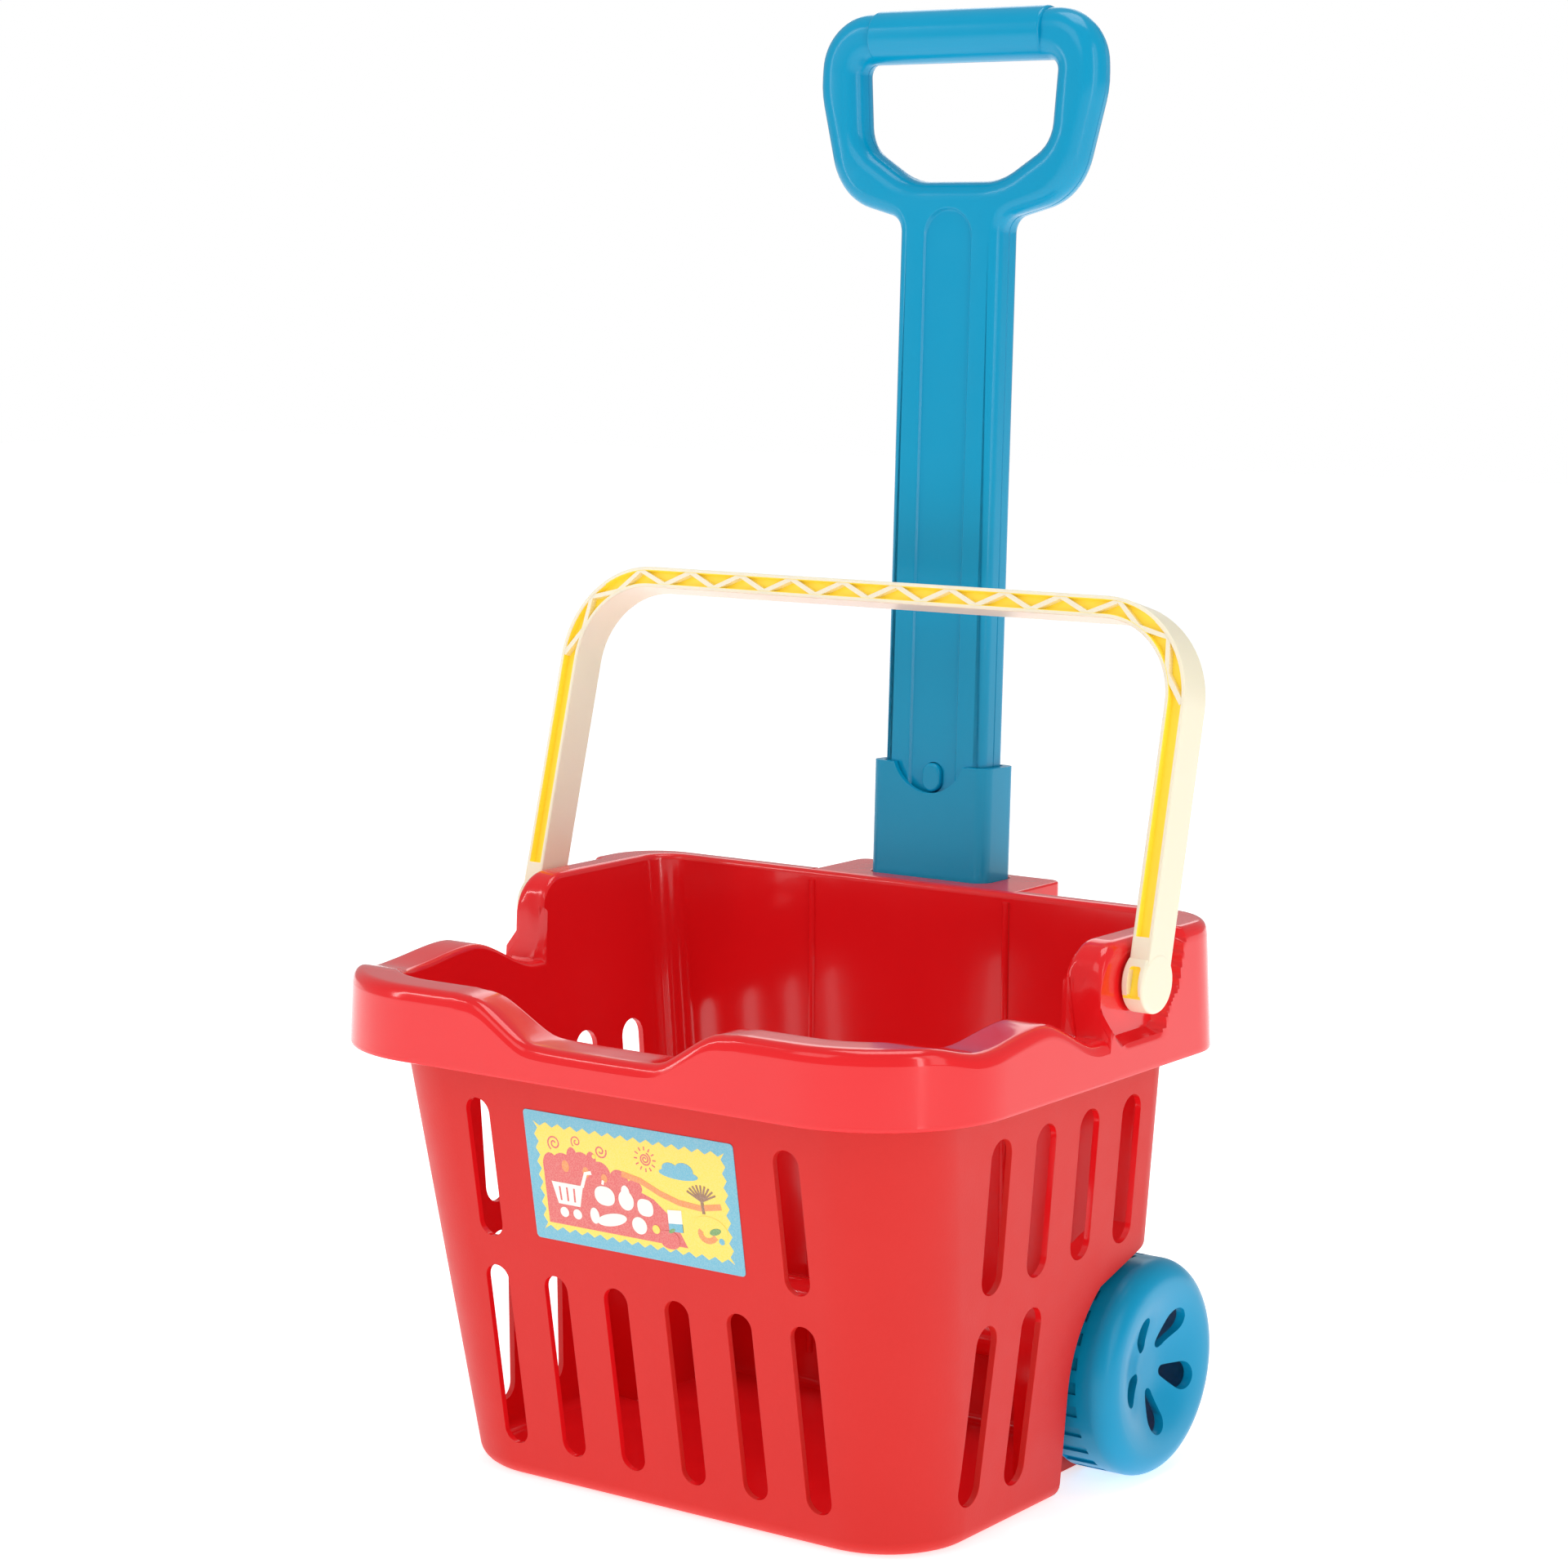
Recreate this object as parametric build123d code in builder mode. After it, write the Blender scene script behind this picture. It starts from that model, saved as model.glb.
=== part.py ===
from build123d import *
import math
import os

# Rolling basket trolley: a tapered slotted tub on two wheels, with a swinging carry bail and a
# telescopic pull handle. X points right, Y points to the back and Z up. The origin lies on the
# floor, under the middle of the tub, so the bottom of the tub and of the wheels is at Z = 0.

# ---- tub ----
rim_width = 270.0            # over the skirt, the widest place of the basket
skirt_overhang = 19.2        # skirt outside to tub wall, at the skirt's lower edge
side_taper = 12.3            # how far each side comes in from the skirt down to the floor
front_taper = 26.9           # the same at the front
skirt_front = 122.2          # skirt's front face, in front of the origin
tub_back = 75.0              # back wall, behind the origin
skirt_level = 160.0          # lower edge of the skirt
wall = 2.5
tub_front_radius = 34.0
tub_back_radius = 14.0
foot_fillet = 6.0            # around the tub's bottom edge

# ---- rim ----
rim_level = 187.0            # top of the rim at the front
back_level = 207.0           # top of the rim at the back
rim_dip = 3.5                # between the front corner and the hand rest
saddle_level = 175.0         # lowest place of the rim, in front of the bail's ears
saddle_y = -9.0
hand_rest_y = -44.0
ear_front = -2.0             # where the ear rises
ear_round = 13.0
skirt_draft = 1.6            # how far the skirt comes in up to the rim
skirt_back = 9.0             # skirt outside to tub wall, at the back
skirt_front_radius = 51.0
skirt_back_radius = 24.0
notch_level = 172.5          # dip in the middle of the front rim
notch_half_top = 50.0
notch_half_bottom = 29.0

# ---- slots in the walls ----
front_slot_pitch = 26.8
front_slot_count = 6
front_slot_width = 10.5
low_slot_bottom = 13.7
low_slot_height = 69.0
high_slot_bottom = 93.8
high_slot_height = 51.9
side_slot_pitch = 28.9
side_slot_first = -39.6
side_slot_width = 13.0
side_high_count = 4
side_high_bottom = 89.5
side_high_height = 55.2
side_low_count = 2
side_low_bottom = 14.5
side_low_height = 64.1
side_low_lean = 4.2          # degrees

# ---- wheels and axle ----
wheel_radius = 40.0
wheel_width = 28.0
wheel_shoulder = 8.5
wheel_wall = 2.6
wheel_dish = 7.0
wheel_rim_radius = 29.0      # where the face starts to dish in
hub_radius = 7.0
axle_radius = 2.5
axle_y = 64.0
arch_gap = 5.5               # wheel to arch, in front of the wheel
arch_top_gap = 2.5           # wheel to arch, above the wheel
arch_rise = 17.5             # degrees, the arch's top edge rises to the back
body_half_width = 88.0       # the tub between the wheels
washer_thickness = 1.6
washer_radius = 7.5
bush_flange = 1.6
bush_flange_radius = 8.5
bush_radius = 5.0
bush_length = 12.0
axle_tube_radius = 8.0
petal_count = 5
petal_start = 51.0           # degrees, from +Y towards +Z
petal_inner = 8.0
petal_outer = 24.5
petal_tip_radius = 2.2
petal_end_radius = 5.2
tread_count = 28
tread_depth = 1.0
tread_width = 13.0

# ---- clearances ----
running_gap = 0.06           # shaft in hole, on radius
slide_gap = 0.4              # handle tube in its sleeve
seat_gap = 0.3               # moving face to fixed face
screw_gap = 0.1

# ---- column of the pull handle ----
column_lean = 1.95           # degrees, backwards
column_y = 88.0              # axis of the column at floor level
tube_width = 45.0
tube_depth = 16.0
tube_wall = 2.0
tube_round = 3.0
groove_half = 12.4
groove_depth = 1.2
groove_top = 459.0
sleeve_width = 52.5
sleeve_depth = 21.5
sleeve_round = 5.0
sleeve_top = 250.0
sleeve_bottom = 11.0
sleeve_cap = 3.0
scoop_half = 15.5
scoop_drop = 11.0
button_width = 8.0
button_height = 11.0
button_proud = 0.9
button_flange = 1.5
button_channel = 0.9         # relief for the button inside the sleeve's front wall
handle_travel = 190.0
shoe_height = 4.0
floor_gap = 1.0              # shoe to the sleeve's cap, with the handle pushed in
shoe_lip = 1.4               # shoe wider than the tube, at each side
shoe_plug = 12.0
spring_radius = 2.4
spring_wire = 0.5
spring_turns = 5

# ---- grip ----
neck_level = 453.0
grip_top = 533.0
grip_half = 62.5
grip_depth = 17.0
grip_bar_radius = 9.9
grip_bar_half = 38.0
grip_wall = 2.5
window_top = 513.0
window_bottom = 469.0
window_half = 41.0
window_foot_half = 16.5

# ---- housing behind the tub ----
housing_half = 46.0
housing_back = 35.0          # from the tub's back wall
housing_bottom = 6.0
housing_round = 5.0
boss_length = 6.0            # bosses on the tub's back wall
boss_radius = 4.2
post_x = 39.0
post_levels = (26.0, 186.0)
lug_x = 32.0
lug_levels = (60.0, 160.0)
lug_thickness = 5.0
screw_radius = 1.5
screw_head_radius = 3.0
screw_head = 1.8
screw_grip = 4.5             # thread held in its boss

# ---- carry bail ----
pivot_y = 20.0
pivot_z = 192.0
bail_lean = 14.5             # degrees back, as it stands
bail_rise = 133.0            # pivot to the outside of the top bar
bail_band = 16.0             # width of the band
bail_thick = 8.0
bail_boss_radius = 10.8
bail_boss_thick = 8.6
bail_corner = 37.0
bail_taper = 1.5             # each arm comes in up to the top bar
bail_channel_depth = 5.0
bail_channel_wall = 1.6
bail_truss_pitch = 17.0
bail_truss_rib = 1.6
pin_radius = 4.0
clip_radius = 6.5
clip_thick = 1.2
ear_pocket = 5.3             # depth of the pocket outside each ear
ear_pocket_back = 50.0
ear_pocket_bottom = 172.0
ear_gap = 1.2                # bail to ear

# ---- label ----
label_width = 91.2
label_height = 48.4
label_middle = 120.9
label_thick = 0.4

tub_top = back_level + 20.0  # construction height, trimmed by the rim's outline
rim_half = rim_width / 2
skirt_half = rim_half - skirt_overhang
tub_front = skirt_front - skirt_overhang
front_slope = front_taper / skirt_level
side_slope = side_taper / skirt_level
bar_s = grip_top - grip_bar_radius

parts_folder = "parts"
os.makedirs(parts_folder, exist_ok=True)


def save(part, name):
    part.label = name
    export_step(part, f"{parts_folder}/{name}.step")


def outline(half, front, back, front_radius, back_radius):
    """Rounded rectangle, with its own radius at the front and back corners."""
    with BuildSketch(Plane.XY) as shape:
        with BuildLine():
            Polyline((-half, -front), (half, -front), (half, back), (-half, back), close=True)
        make_face()
        corners = shape.vertices().sort_by(Axis.Y)
        fillet(corners[:2], radius=front_radius)
        corners = shape.vertices().sort_by(Axis.Y)
        fillet(corners[-2:], radius=back_radius)
    return shape.sketch


def tub_section(level, inset):
    rise = level - skirt_level
    return outline(skirt_half + side_slope * rise - inset, tub_front + front_slope * rise - inset,
                   tub_back - inset, tub_front_radius - inset, tub_back_radius - inset)


def skirt_section(level, inset):
    draft = skirt_draft * (level - skirt_level) / (back_level - skirt_level)
    return outline(rim_half - draft - inset, skirt_front - draft - inset,
                   tub_back + skirt_back - draft - inset,
                   skirt_front_radius - inset, skirt_back_radius - inset)


def tapered(section, low, high, inset):
    """Solid between two levels of the tub or of the skirt."""
    with BuildPart() as body:
        for level in (low, high):
            with BuildSketch(Plane.XY.offset(level)):
                add(section(level, inset))
        loft(ruled=True)
    return body.part


def wheel_arches(grow):
    """Spaces for both wheels; grow makes them larger by a wall."""
    radius = wheel_radius + arch_gap + grow
    reach = rim_half
    turn = math.radians(90 + arch_rise) + math.acos((wheel_radius + arch_top_gap + grow) / radius)
    bend = (axle_y + radius * math.cos(turn), wheel_radius + radius * math.sin(turn))
    behind_tub = tub_back + reach
    high = bend[1] + (behind_tub - bend[0]) * math.tan(math.radians(arch_rise))
    with BuildPart() as arches:
        with BuildSketch(Plane.YZ.offset(body_half_width - grow)):
            with BuildLine():
                Line((axle_y - radius, -1), (axle_y - radius, wheel_radius))
                RadiusArc((axle_y - radius, wheel_radius), bend, radius)
                Polyline(bend, (behind_tub, high), (behind_tub, -1), (axle_y - radius, -1))
            make_face()
        extrude(amount=reach)
        mirror(about=Plane.YZ)
    return arches.part


def below_rim(drop, notch_grow):
    """Everything under the rim's top outline, lowered by drop."""
    far = 300.0
    with BuildPart() as under:
        with BuildSketch(Plane.YZ.offset(-far)):
            with BuildLine():
                Line((-far, -far), (-far, rim_level - drop))
                Line((-far, rim_level - drop), (-skirt_front + 22, rim_level - drop))
                Spline((-skirt_front + 22, rim_level - drop),
                       (-skirt_front + 40, rim_level - rim_dip - drop),
                       (hand_rest_y, rim_level - drop),
                       (saddle_y - 4, saddle_level + 2 - drop),
                       (saddle_y + 2, saddle_level - drop),
                       tangents=[(1, 0), (1, 0)])
                Line((saddle_y + 2, saddle_level - drop), (ear_front - drop / 2, saddle_level - drop))
                Line((ear_front - drop / 2, saddle_level - drop),
                     (ear_front + drop, back_level - ear_round - drop))
                RadiusArc((ear_front + drop, back_level - ear_round - drop),
                          (ear_front + ear_round + drop, back_level - drop), ear_round)
                Line((ear_front + ear_round + drop, back_level - drop), (far, back_level - drop))
                Line((far, back_level - drop), (far, -far))
                Line((far, -far), (-far, -far))
            make_face()
        extrude(amount=2 * far)
        with BuildSketch(Plane.XZ.offset(skirt_front / 2)):
            with BuildLine():
                Polyline((-notch_half_bottom - notch_grow, notch_level - drop),
                         (notch_half_bottom + notch_grow, notch_level - drop),
                         (notch_half_top + notch_grow, rim_level - drop),
                         (notch_half_top + notch_grow, far), (-notch_half_top - notch_grow, far),
                         (-notch_half_top - notch_grow, rim_level - drop), close=True)
            make_face()
        extrude(amount=far, mode=Mode.SUBTRACT)
    return under.part


# ---- basket ----
ear_wall_x = rim_half - ear_pocket
low_slot_mid = low_slot_bottom + low_slot_height / 2
high_slot_mid = high_slot_bottom + high_slot_height / 2
side_high_mid = side_high_bottom + side_high_height / 2
side_low_mid = side_low_bottom + side_low_height / 2

tub_solid = tapered(tub_section, 0, tub_top, 0) - wheel_arches(0)
tub_hollow = tapered(tub_section, wall, tub_top, wall) - wheel_arches(wall)


def ear_pockets(grow):
    """Room for the bail's ends, outside both ears."""
    with BuildPart() as pockets:
        with BuildSketch(Plane.YZ.offset(ear_wall_x - grow)):
            with BuildLine():
                Polyline((saddle_y - 3 - grow, tub_top), (ear_front - 4 - grow, ear_pocket_bottom + 8),
                         (pivot_y - 12, ear_pocket_bottom - grow), (pivot_y + 8, ear_pocket_bottom - grow),
                         (ear_pocket_back - 8 + grow, ear_pocket_bottom + 14),
                         (ear_pocket_back + grow, tub_top), close=True)
            make_face()
        extrude(amount=rim_half)
        mirror(about=Plane.YZ)
    return pockets.part


with BuildPart() as envelope:
    add(tapered(skirt_section, skirt_level, tub_top, 0))
    add(ear_pockets(0), mode=Mode.SUBTRACT)
    add(below_rim(0, 0), mode=Mode.INTERSECT)

with BuildPart() as channel:
    add(tapered(skirt_section, skirt_level - 1, tub_top, wall))
    add(ear_pockets(wall), mode=Mode.SUBTRACT)
    add(tub_solid, mode=Mode.SUBTRACT)
    add(below_rim(wall, wall), mode=Mode.INTERSECT)


def slot_row(width, height, middle, count, pitch, first, plane, lean=0):
    """Upright slots with round ends, cut through along the plane's normal."""
    with BuildPart() as row:
        with BuildSketch(plane):
            with Locations(*[(first + i * pitch, middle) for i in range(count)]):
                SlotOverall(height, width, rotation=90 + lean)
        extrude(amount=rim_half, both=True)
    return row.part


front_first = -front_slot_pitch * (front_slot_count - 1) / 2
front_plane = Plane.XZ.offset(skirt_front)
with BuildPart() as front_slots:
    add(slot_row(front_slot_width, low_slot_height, low_slot_mid, front_slot_count,
                 front_slot_pitch, front_first, front_plane))
    add(slot_row(front_slot_width, high_slot_height, high_slot_mid, 2, -2 * front_first,
                 front_first, front_plane))
    with Locations((0, tub_back, 0)):
        Box(2 * rim_width, 2 * tub_back, 2 * tub_top, mode=Mode.SUBTRACT)

with BuildPart() as side_slots:
    add(slot_row(side_slot_width, side_high_height, side_high_mid, side_high_count,
                 side_slot_pitch, side_slot_first, Plane.YZ))
    add(slot_row(side_slot_width, side_low_height, side_low_mid, side_low_count,
                 side_slot_pitch, side_slot_first - 2, Plane.YZ, -side_low_lean))

boss_places = [(x, level) for level in post_levels for x in (-post_x, post_x)]
lug_places = [(x, level) for level in lug_levels for x in (-lug_x, lug_x)]
back_outside = Plane.XZ.offset(-tub_back)

with BuildPart() as basket:
    add(tub_solid)
    add(below_rim(0, 0), mode=Mode.INTERSECT)
    fillet(basket.edges().group_by(Axis.Z)[0], radius=foot_fillet)
    add(envelope.part)
    with Locations((0, tub_back + tub_top, tub_top / 2)):
        Box(2 * (housing_half + seat_gap), 2 * tub_top, 2 * tub_top, mode=Mode.SUBTRACT)
    add(tub_hollow, mode=Mode.SUBTRACT)
    add(channel.part, mode=Mode.SUBTRACT)
    add(front_slots.part, mode=Mode.SUBTRACT)
    add(side_slots.part, mode=Mode.SUBTRACT)
    # moulded tunnel for the axle, across the bottom of the tub
    with BuildSketch(Plane.YZ):
        with Locations((axle_y, wheel_radius)):
            Circle(axle_tube_radius)
        with Locations(((axle_y + tub_back) / 2, wheel_radius)):
            Rectangle(tub_back - axle_y, 2 * axle_tube_radius - 3)
    extrude(amount=body_half_width, both=True)
    # bosses on the back wall, for the housing and for the sleeve
    with BuildSketch(back_outside):
        with Locations(*boss_places, *lug_places):
            Circle(boss_radius)
    extrude(amount=-boss_length)
    with BuildSketch(Plane.XZ.offset(-tub_back - boss_length)):
        with Locations(*boss_places, *lug_places):
            Circle(screw_radius + screw_gap)
    extrude(amount=boss_length - 0.5, mode=Mode.SUBTRACT)
    # bores for the axle and its bushes
    with BuildSketch(Plane.YZ):
        with Locations((axle_y, wheel_radius)):
            Circle(axle_radius + seat_gap)
    extrude(amount=rim_half, both=True, mode=Mode.SUBTRACT)
    for side in (1, -1):
        with BuildSketch(Plane.YZ.offset(side * (body_half_width - bush_length))):
            with Locations((axle_y, wheel_radius)):
                Circle(bush_radius)
        extrude(amount=side * rim_half, mode=Mode.SUBTRACT)
    # holes for the bail's pins, through both ears
    with BuildSketch(Plane.YZ.offset(-rim_half)):
        with Locations((pivot_y, pivot_z)):
            Circle(pin_radius + running_gap)
    extrude(amount=rim_half - skirt_half - 4, mode=Mode.SUBTRACT)
    with BuildSketch(Plane.YZ.offset(rim_half)):
        with Locations((pivot_y, pivot_z)):
            Circle(pin_radius + running_gap)
    extrude(amount=-(rim_half - skirt_half - 4), mode=Mode.SUBTRACT)
save(basket.part, "basket")

# ---- label, flat on the front wall ----
label_plane = Plane(origin=(0, -tub_front + front_slope * (skirt_level - label_middle), label_middle),
                    x_dir=(1, 0, 0), z_dir=(0, -1, -front_slope))
with BuildPart() as front_label:
    with BuildSketch(label_plane):
        RectangleRounded(label_width, label_height, 1.0)
    extrude(amount=label_thick)
save(front_label.part, "front_label")

# ---- housing behind the tub ----
column = Plane(origin=(0, column_y, 0), x_dir=(1, 0, 0),
               z_dir=(0, math.sin(math.radians(column_lean)), math.cos(math.radians(column_lean))))
housing_front = tub_back + seat_gap
housing_rear = tub_back + housing_back
housing_height = back_level - housing_bottom
screw_hole = screw_radius + screw_gap
with BuildPart() as handle_housing:
    with BuildSketch(Plane.XY.offset(housing_bottom)):
        with BuildLine():
            Polyline((-housing_half, housing_front), (housing_half, housing_front),
                     (housing_half, housing_rear), (-housing_half, housing_rear), close=True)
        make_face()
        fillet(vertices().group_by(Axis.Y)[-1], radius=housing_round)
    extrude(amount=housing_height)
    with BuildSketch(Plane.XY.offset(housing_bottom + wall)):
        with BuildLine():
            Polyline((-housing_half + wall, housing_front), (housing_half - wall, housing_front),
                     (housing_half - wall, housing_rear - wall),
                     (-housing_half + wall, housing_rear - wall), close=True)
        make_face()
        fillet(vertices().group_by(Axis.Y)[-1], radius=housing_round - wall)
    extrude(amount=housing_height - 2 * wall, mode=Mode.SUBTRACT)
    with BuildSketch(Plane.XZ.offset(-housing_rear + wall / 2)):
        with Locations(*boss_places):
            Circle(boss_radius)
    extrude(amount=housing_back - wall / 2 - boss_length - seat_gap)
    with BuildSketch(Plane.XZ.offset(-housing_rear)):
        with Locations(*boss_places):
            Circle(screw_hole)
    extrude(amount=housing_back, mode=Mode.SUBTRACT)
    with BuildSketch(Plane.XZ.offset(-housing_rear)):
        with Locations(*boss_places):
            Circle(screw_head_radius + screw_gap)
    extrude(amount=screw_head, mode=Mode.SUBTRACT)
    with BuildSketch(column.offset(back_level - 2 * wall)):
        RectangleRounded(sleeve_width + 2 * seat_gap, sleeve_depth + 2 * seat_gap,
                         sleeve_round + seat_gap)
    extrude(amount=tub_top, mode=Mode.SUBTRACT)
save(handle_housing.part, "handle_housing")


def screw(length, places, plane):
    """Pan-head screws, their heads resting on the plane and their shafts against its normal."""
    with BuildPart() as screws:
        with BuildSketch(plane):
            with Locations(*places):
                Circle(screw_head_radius)
        extrude(amount=screw_head)
        with BuildSketch(plane.offset(screw_head)):
            with Locations(*places):
                Rectangle(0.8, 3.6)
                Rectangle(3.6, 0.8)
        extrude(amount=-1.0, mode=Mode.SUBTRACT)
        with BuildSketch(plane):
            with Locations(*places):
                Circle(screw_radius)
        extrude(amount=-length)
    return screws.part


def behind(y):
    """Plane facing backwards at y; its local X runs to the left."""
    return Plane(origin=(0, y, 0), x_dir=(-1, 0, 0), z_dir=(0, 1, 0))


housing_seat = housing_rear - screw_head
save(screw(housing_seat - tub_back - boss_length + screw_grip, boss_places, behind(housing_seat)),
     "housing_screws")

# ---- sleeve that the handle slides in ----
bore_width = tube_width + 2 * slide_gap
bore_depth = tube_depth + 2 * slide_gap
shoe_width = tube_width + 2 * shoe_lip
tube_foot = sleeve_bottom + sleeve_cap + floor_gap + shoe_height + handle_travel
lug_plane = Plane.XZ.offset(-tub_back - boss_length)
with BuildPart() as handle_sleeve:
    with BuildSketch(column.offset(sleeve_bottom)):
        RectangleRounded(sleeve_width, sleeve_depth, sleeve_round)
    extrude(amount=sleeve_top - sleeve_bottom)
    with BuildSketch(lug_plane):
        with Locations(*lug_places):
            RectangleRounded(2 * (lug_x - sleeve_width / 2 + 3), 2 * boss_radius + 3, 3)
    extrude(amount=-lug_thickness)
    with BuildSketch(lug_plane):
        with Locations(*lug_places):
            Circle(screw_hole)
    extrude(amount=-lug_thickness, mode=Mode.SUBTRACT)
    with BuildSketch(column.offset(sleeve_bottom + sleeve_cap)):
        RectangleRounded(bore_width, bore_depth, tube_round + slide_gap)
    extrude(amount=sleeve_top, mode=Mode.SUBTRACT)
    with BuildSketch(column.offset(sleeve_bottom + sleeve_cap)):
        Rectangle(shoe_width + 2 * slide_gap, bore_depth - 4)
    extrude(amount=tube_foot + seat_gap - sleeve_bottom - sleeve_cap, mode=Mode.SUBTRACT)
    with BuildSketch(column.offset(sleeve_bottom + sleeve_cap)):
        with Locations((0, -bore_depth / 2)):
            Rectangle(button_width + 2, 2 * button_channel)
    extrude(amount=sleeve_top, mode=Mode.SUBTRACT)
    with BuildSketch(Plane(origin=column.from_local_coords(Vector(0, -sleeve_depth, sleeve_top)),
                           x_dir=(1, 0, 0), z_dir=-column.y_dir)):
        with Locations((0, scoop_half - scoop_drop)):
            Circle(scoop_half)
    extrude(amount=sleeve_depth / 2, both=True, mode=Mode.SUBTRACT)
save(handle_sleeve.part, "handle_sleeve")
lug_seat = tub_back + boss_length + lug_thickness
save(screw(lug_thickness + screw_grip, lug_places, behind(lug_seat)), "sleeve_screws")


# ---- pull handle: two half shells around a hollow tube and grip ----
middle = Plane(origin=column.origin, x_dir=(1, 0, 0), z_dir=-column.y_dir)   # local Y runs up the column


def grip_outline():
    """Outside of the grip, in the handle's middle plane."""
    with BuildSketch(Plane.XY) as shape:
        with BuildLine():
            Polyline((-tube_width / 2, neck_level - 12), (tube_width / 2, neck_level - 12),
                     (tube_width / 2, neck_level + 2), (grip_half - 10, neck_level + 10),
                     (grip_half, grip_top - 30), (grip_half - 1.5, grip_top),
                     (-grip_half + 1.5, grip_top), (-grip_half, grip_top - 30),
                     (-grip_half + 10, neck_level + 10), (-tube_width / 2, neck_level + 2), close=True)
        make_face()
        fillet(shape.vertices().group_by(Axis.Y)[-1], radius=20)
        fillet(shape.vertices().filter_by_position(Axis.Y, neck_level + 8, neck_level + 12), radius=16)
        fillet(shape.vertices().filter_by_position(Axis.Y, neck_level + 1, neck_level + 3), radius=6)
    return shape.sketch


def window_outline(grow):
    with BuildSketch(Plane.XY) as shape:
        with BuildLine():
            Polyline((-window_foot_half - grow, window_bottom - grow),
                     (window_foot_half + grow, window_bottom - grow),
                     (window_half - 2 + grow, window_bottom + 13 - grow / 2),
                     (window_half + grow, window_top + grow),
                     (-window_half - grow, window_top + grow),
                     (-window_half + 2 - grow, window_bottom + 13 - grow / 2), close=True)
        make_face()
        fillet(shape.vertices(), radius=7)
    return shape.sketch


cavity_front = tube_depth / 2 - groove_depth - tube_wall
cavity_back = tube_depth / 2 - tube_wall
cavity_half = tube_width / 2 - tube_wall
boss_levels = (290.0, 365.0, 440.0)
handle_bosses = [(0, level) for level in boss_levels] + [(x, window_bottom - 4) for x in (-30, 30)]
button_level = sleeve_top - scoop_drop + button_height / 2 + seat_gap

with BuildPart() as handle_body:
    with BuildSketch(column.offset(tube_foot)):
        RectangleRounded(tube_width, tube_depth, tube_round)
    extrude(amount=neck_level - tube_foot)
    with BuildSketch(middle):
        add(grip_outline())
    extrude(amount=grip_depth / 2, both=True)
    with BuildSketch(middle):
        add(window_outline(0))
    extrude(amount=grip_depth, both=True, mode=Mode.SUBTRACT)
    with BuildSketch(Plane(origin=middle.from_local_coords(Vector(-grip_bar_half, bar_s, 0)),
                           x_dir=(0, 1, 0), z_dir=(1, 0, 0))):
        Circle(grip_bar_radius)
    extrude(amount=2 * grip_bar_half)
    # shallow groove down the front, with a round top
    groove_foot = tube_foot + 8
    with BuildSketch(middle.offset(tube_depth / 2 - groove_depth)):
        with Locations((0, (groove_top + groove_foot) / 2)):
            SlotOverall(groove_top - groove_foot, 2 * groove_half, rotation=90)
    extrude(amount=grip_depth, mode=Mode.SUBTRACT)

with BuildPart() as handle_cavity:
    with BuildSketch(middle.offset(-cavity_back)):
        with Locations((0, (tube_foot + neck_level) / 2)):
            Rectangle(2 * cavity_half, neck_level - tube_foot + 16)
    extrude(amount=cavity_back + cavity_front)
    with BuildSketch(middle.offset(-grip_depth / 2 + grip_wall)):
        add(grip_outline())
        offset(amount=-grip_wall - 1)
        add(window_outline(grip_wall + 1), mode=Mode.SUBTRACT)
    extrude(amount=grip_depth - 2 * grip_wall)
    with BuildSketch(middle):
        with Locations(*handle_bosses):
            Circle(boss_radius)
    extrude(amount=grip_depth, both=True, mode=Mode.SUBTRACT)

with BuildPart() as button_hole:
    with BuildSketch(middle):
        with Locations((0, button_level)):
            SlotOverall(button_height + 2 * seat_gap, button_width + 2 * seat_gap, rotation=90)
    extrude(amount=tube_depth)

handle_screw_head = 2.0
handle_seat = middle.offset(-tube_depth / 2 + handle_screw_head)
with BuildPart() as handle_front_shell:
    add(handle_body.part)
    add(handle_cavity.part, mode=Mode.SUBTRACT)
    add(button_hole.part, mode=Mode.SUBTRACT)
    split(bisect_by=middle, keep=Keep.TOP)
    with BuildSketch(middle):
        with Locations(*handle_bosses):
            Circle(screw_hole)
    extrude(amount=screw_grip, mode=Mode.SUBTRACT)
save(handle_front_shell.part, "handle_front_shell")

with BuildPart() as handle_rear_shell:
    add(handle_body.part)
    add(handle_cavity.part, mode=Mode.SUBTRACT)
    split(bisect_by=middle, keep=Keep.BOTTOM)
    with BuildSketch(middle):
        with Locations(*handle_bosses):
            Circle(screw_hole)
    extrude(amount=-grip_depth, mode=Mode.SUBTRACT)
    with BuildSketch(handle_seat):
        with Locations(*handle_bosses):
            Circle(screw_head_radius + screw_gap)
    extrude(amount=-grip_depth, mode=Mode.SUBTRACT)
save(handle_rear_shell.part, "handle_rear_shell")
seat_facing_back = Plane(origin=handle_seat.origin, x_dir=(-1, 0, 0), z_dir=-middle.z_dir)
save(screw(tube_depth / 2 - handle_screw_head + screw_grip - 0.5,
           [(-x, level) for x, level in handle_bosses], seat_facing_back), "handle_screws")

# ---- latch button in the front of the tube, with its spring ----
button_seat = cavity_front - seat_gap            # front of the button's flange
with BuildPart() as latch_button:
    with BuildSketch(middle.offset(button_seat - button_flange)):
        with Locations((0, button_level)):
            RectangleRounded(button_width + 6, button_height + 5, 2)
    extrude(amount=button_flange)
    with BuildSketch(middle.offset(button_seat - button_flange)):
        with Locations((0, button_level)):
            SlotOverall(button_height, button_width, rotation=90)
    extrude(amount=tube_depth / 2 + button_proud - button_seat + button_flange)
save(latch_button.part, "latch_button")

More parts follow.
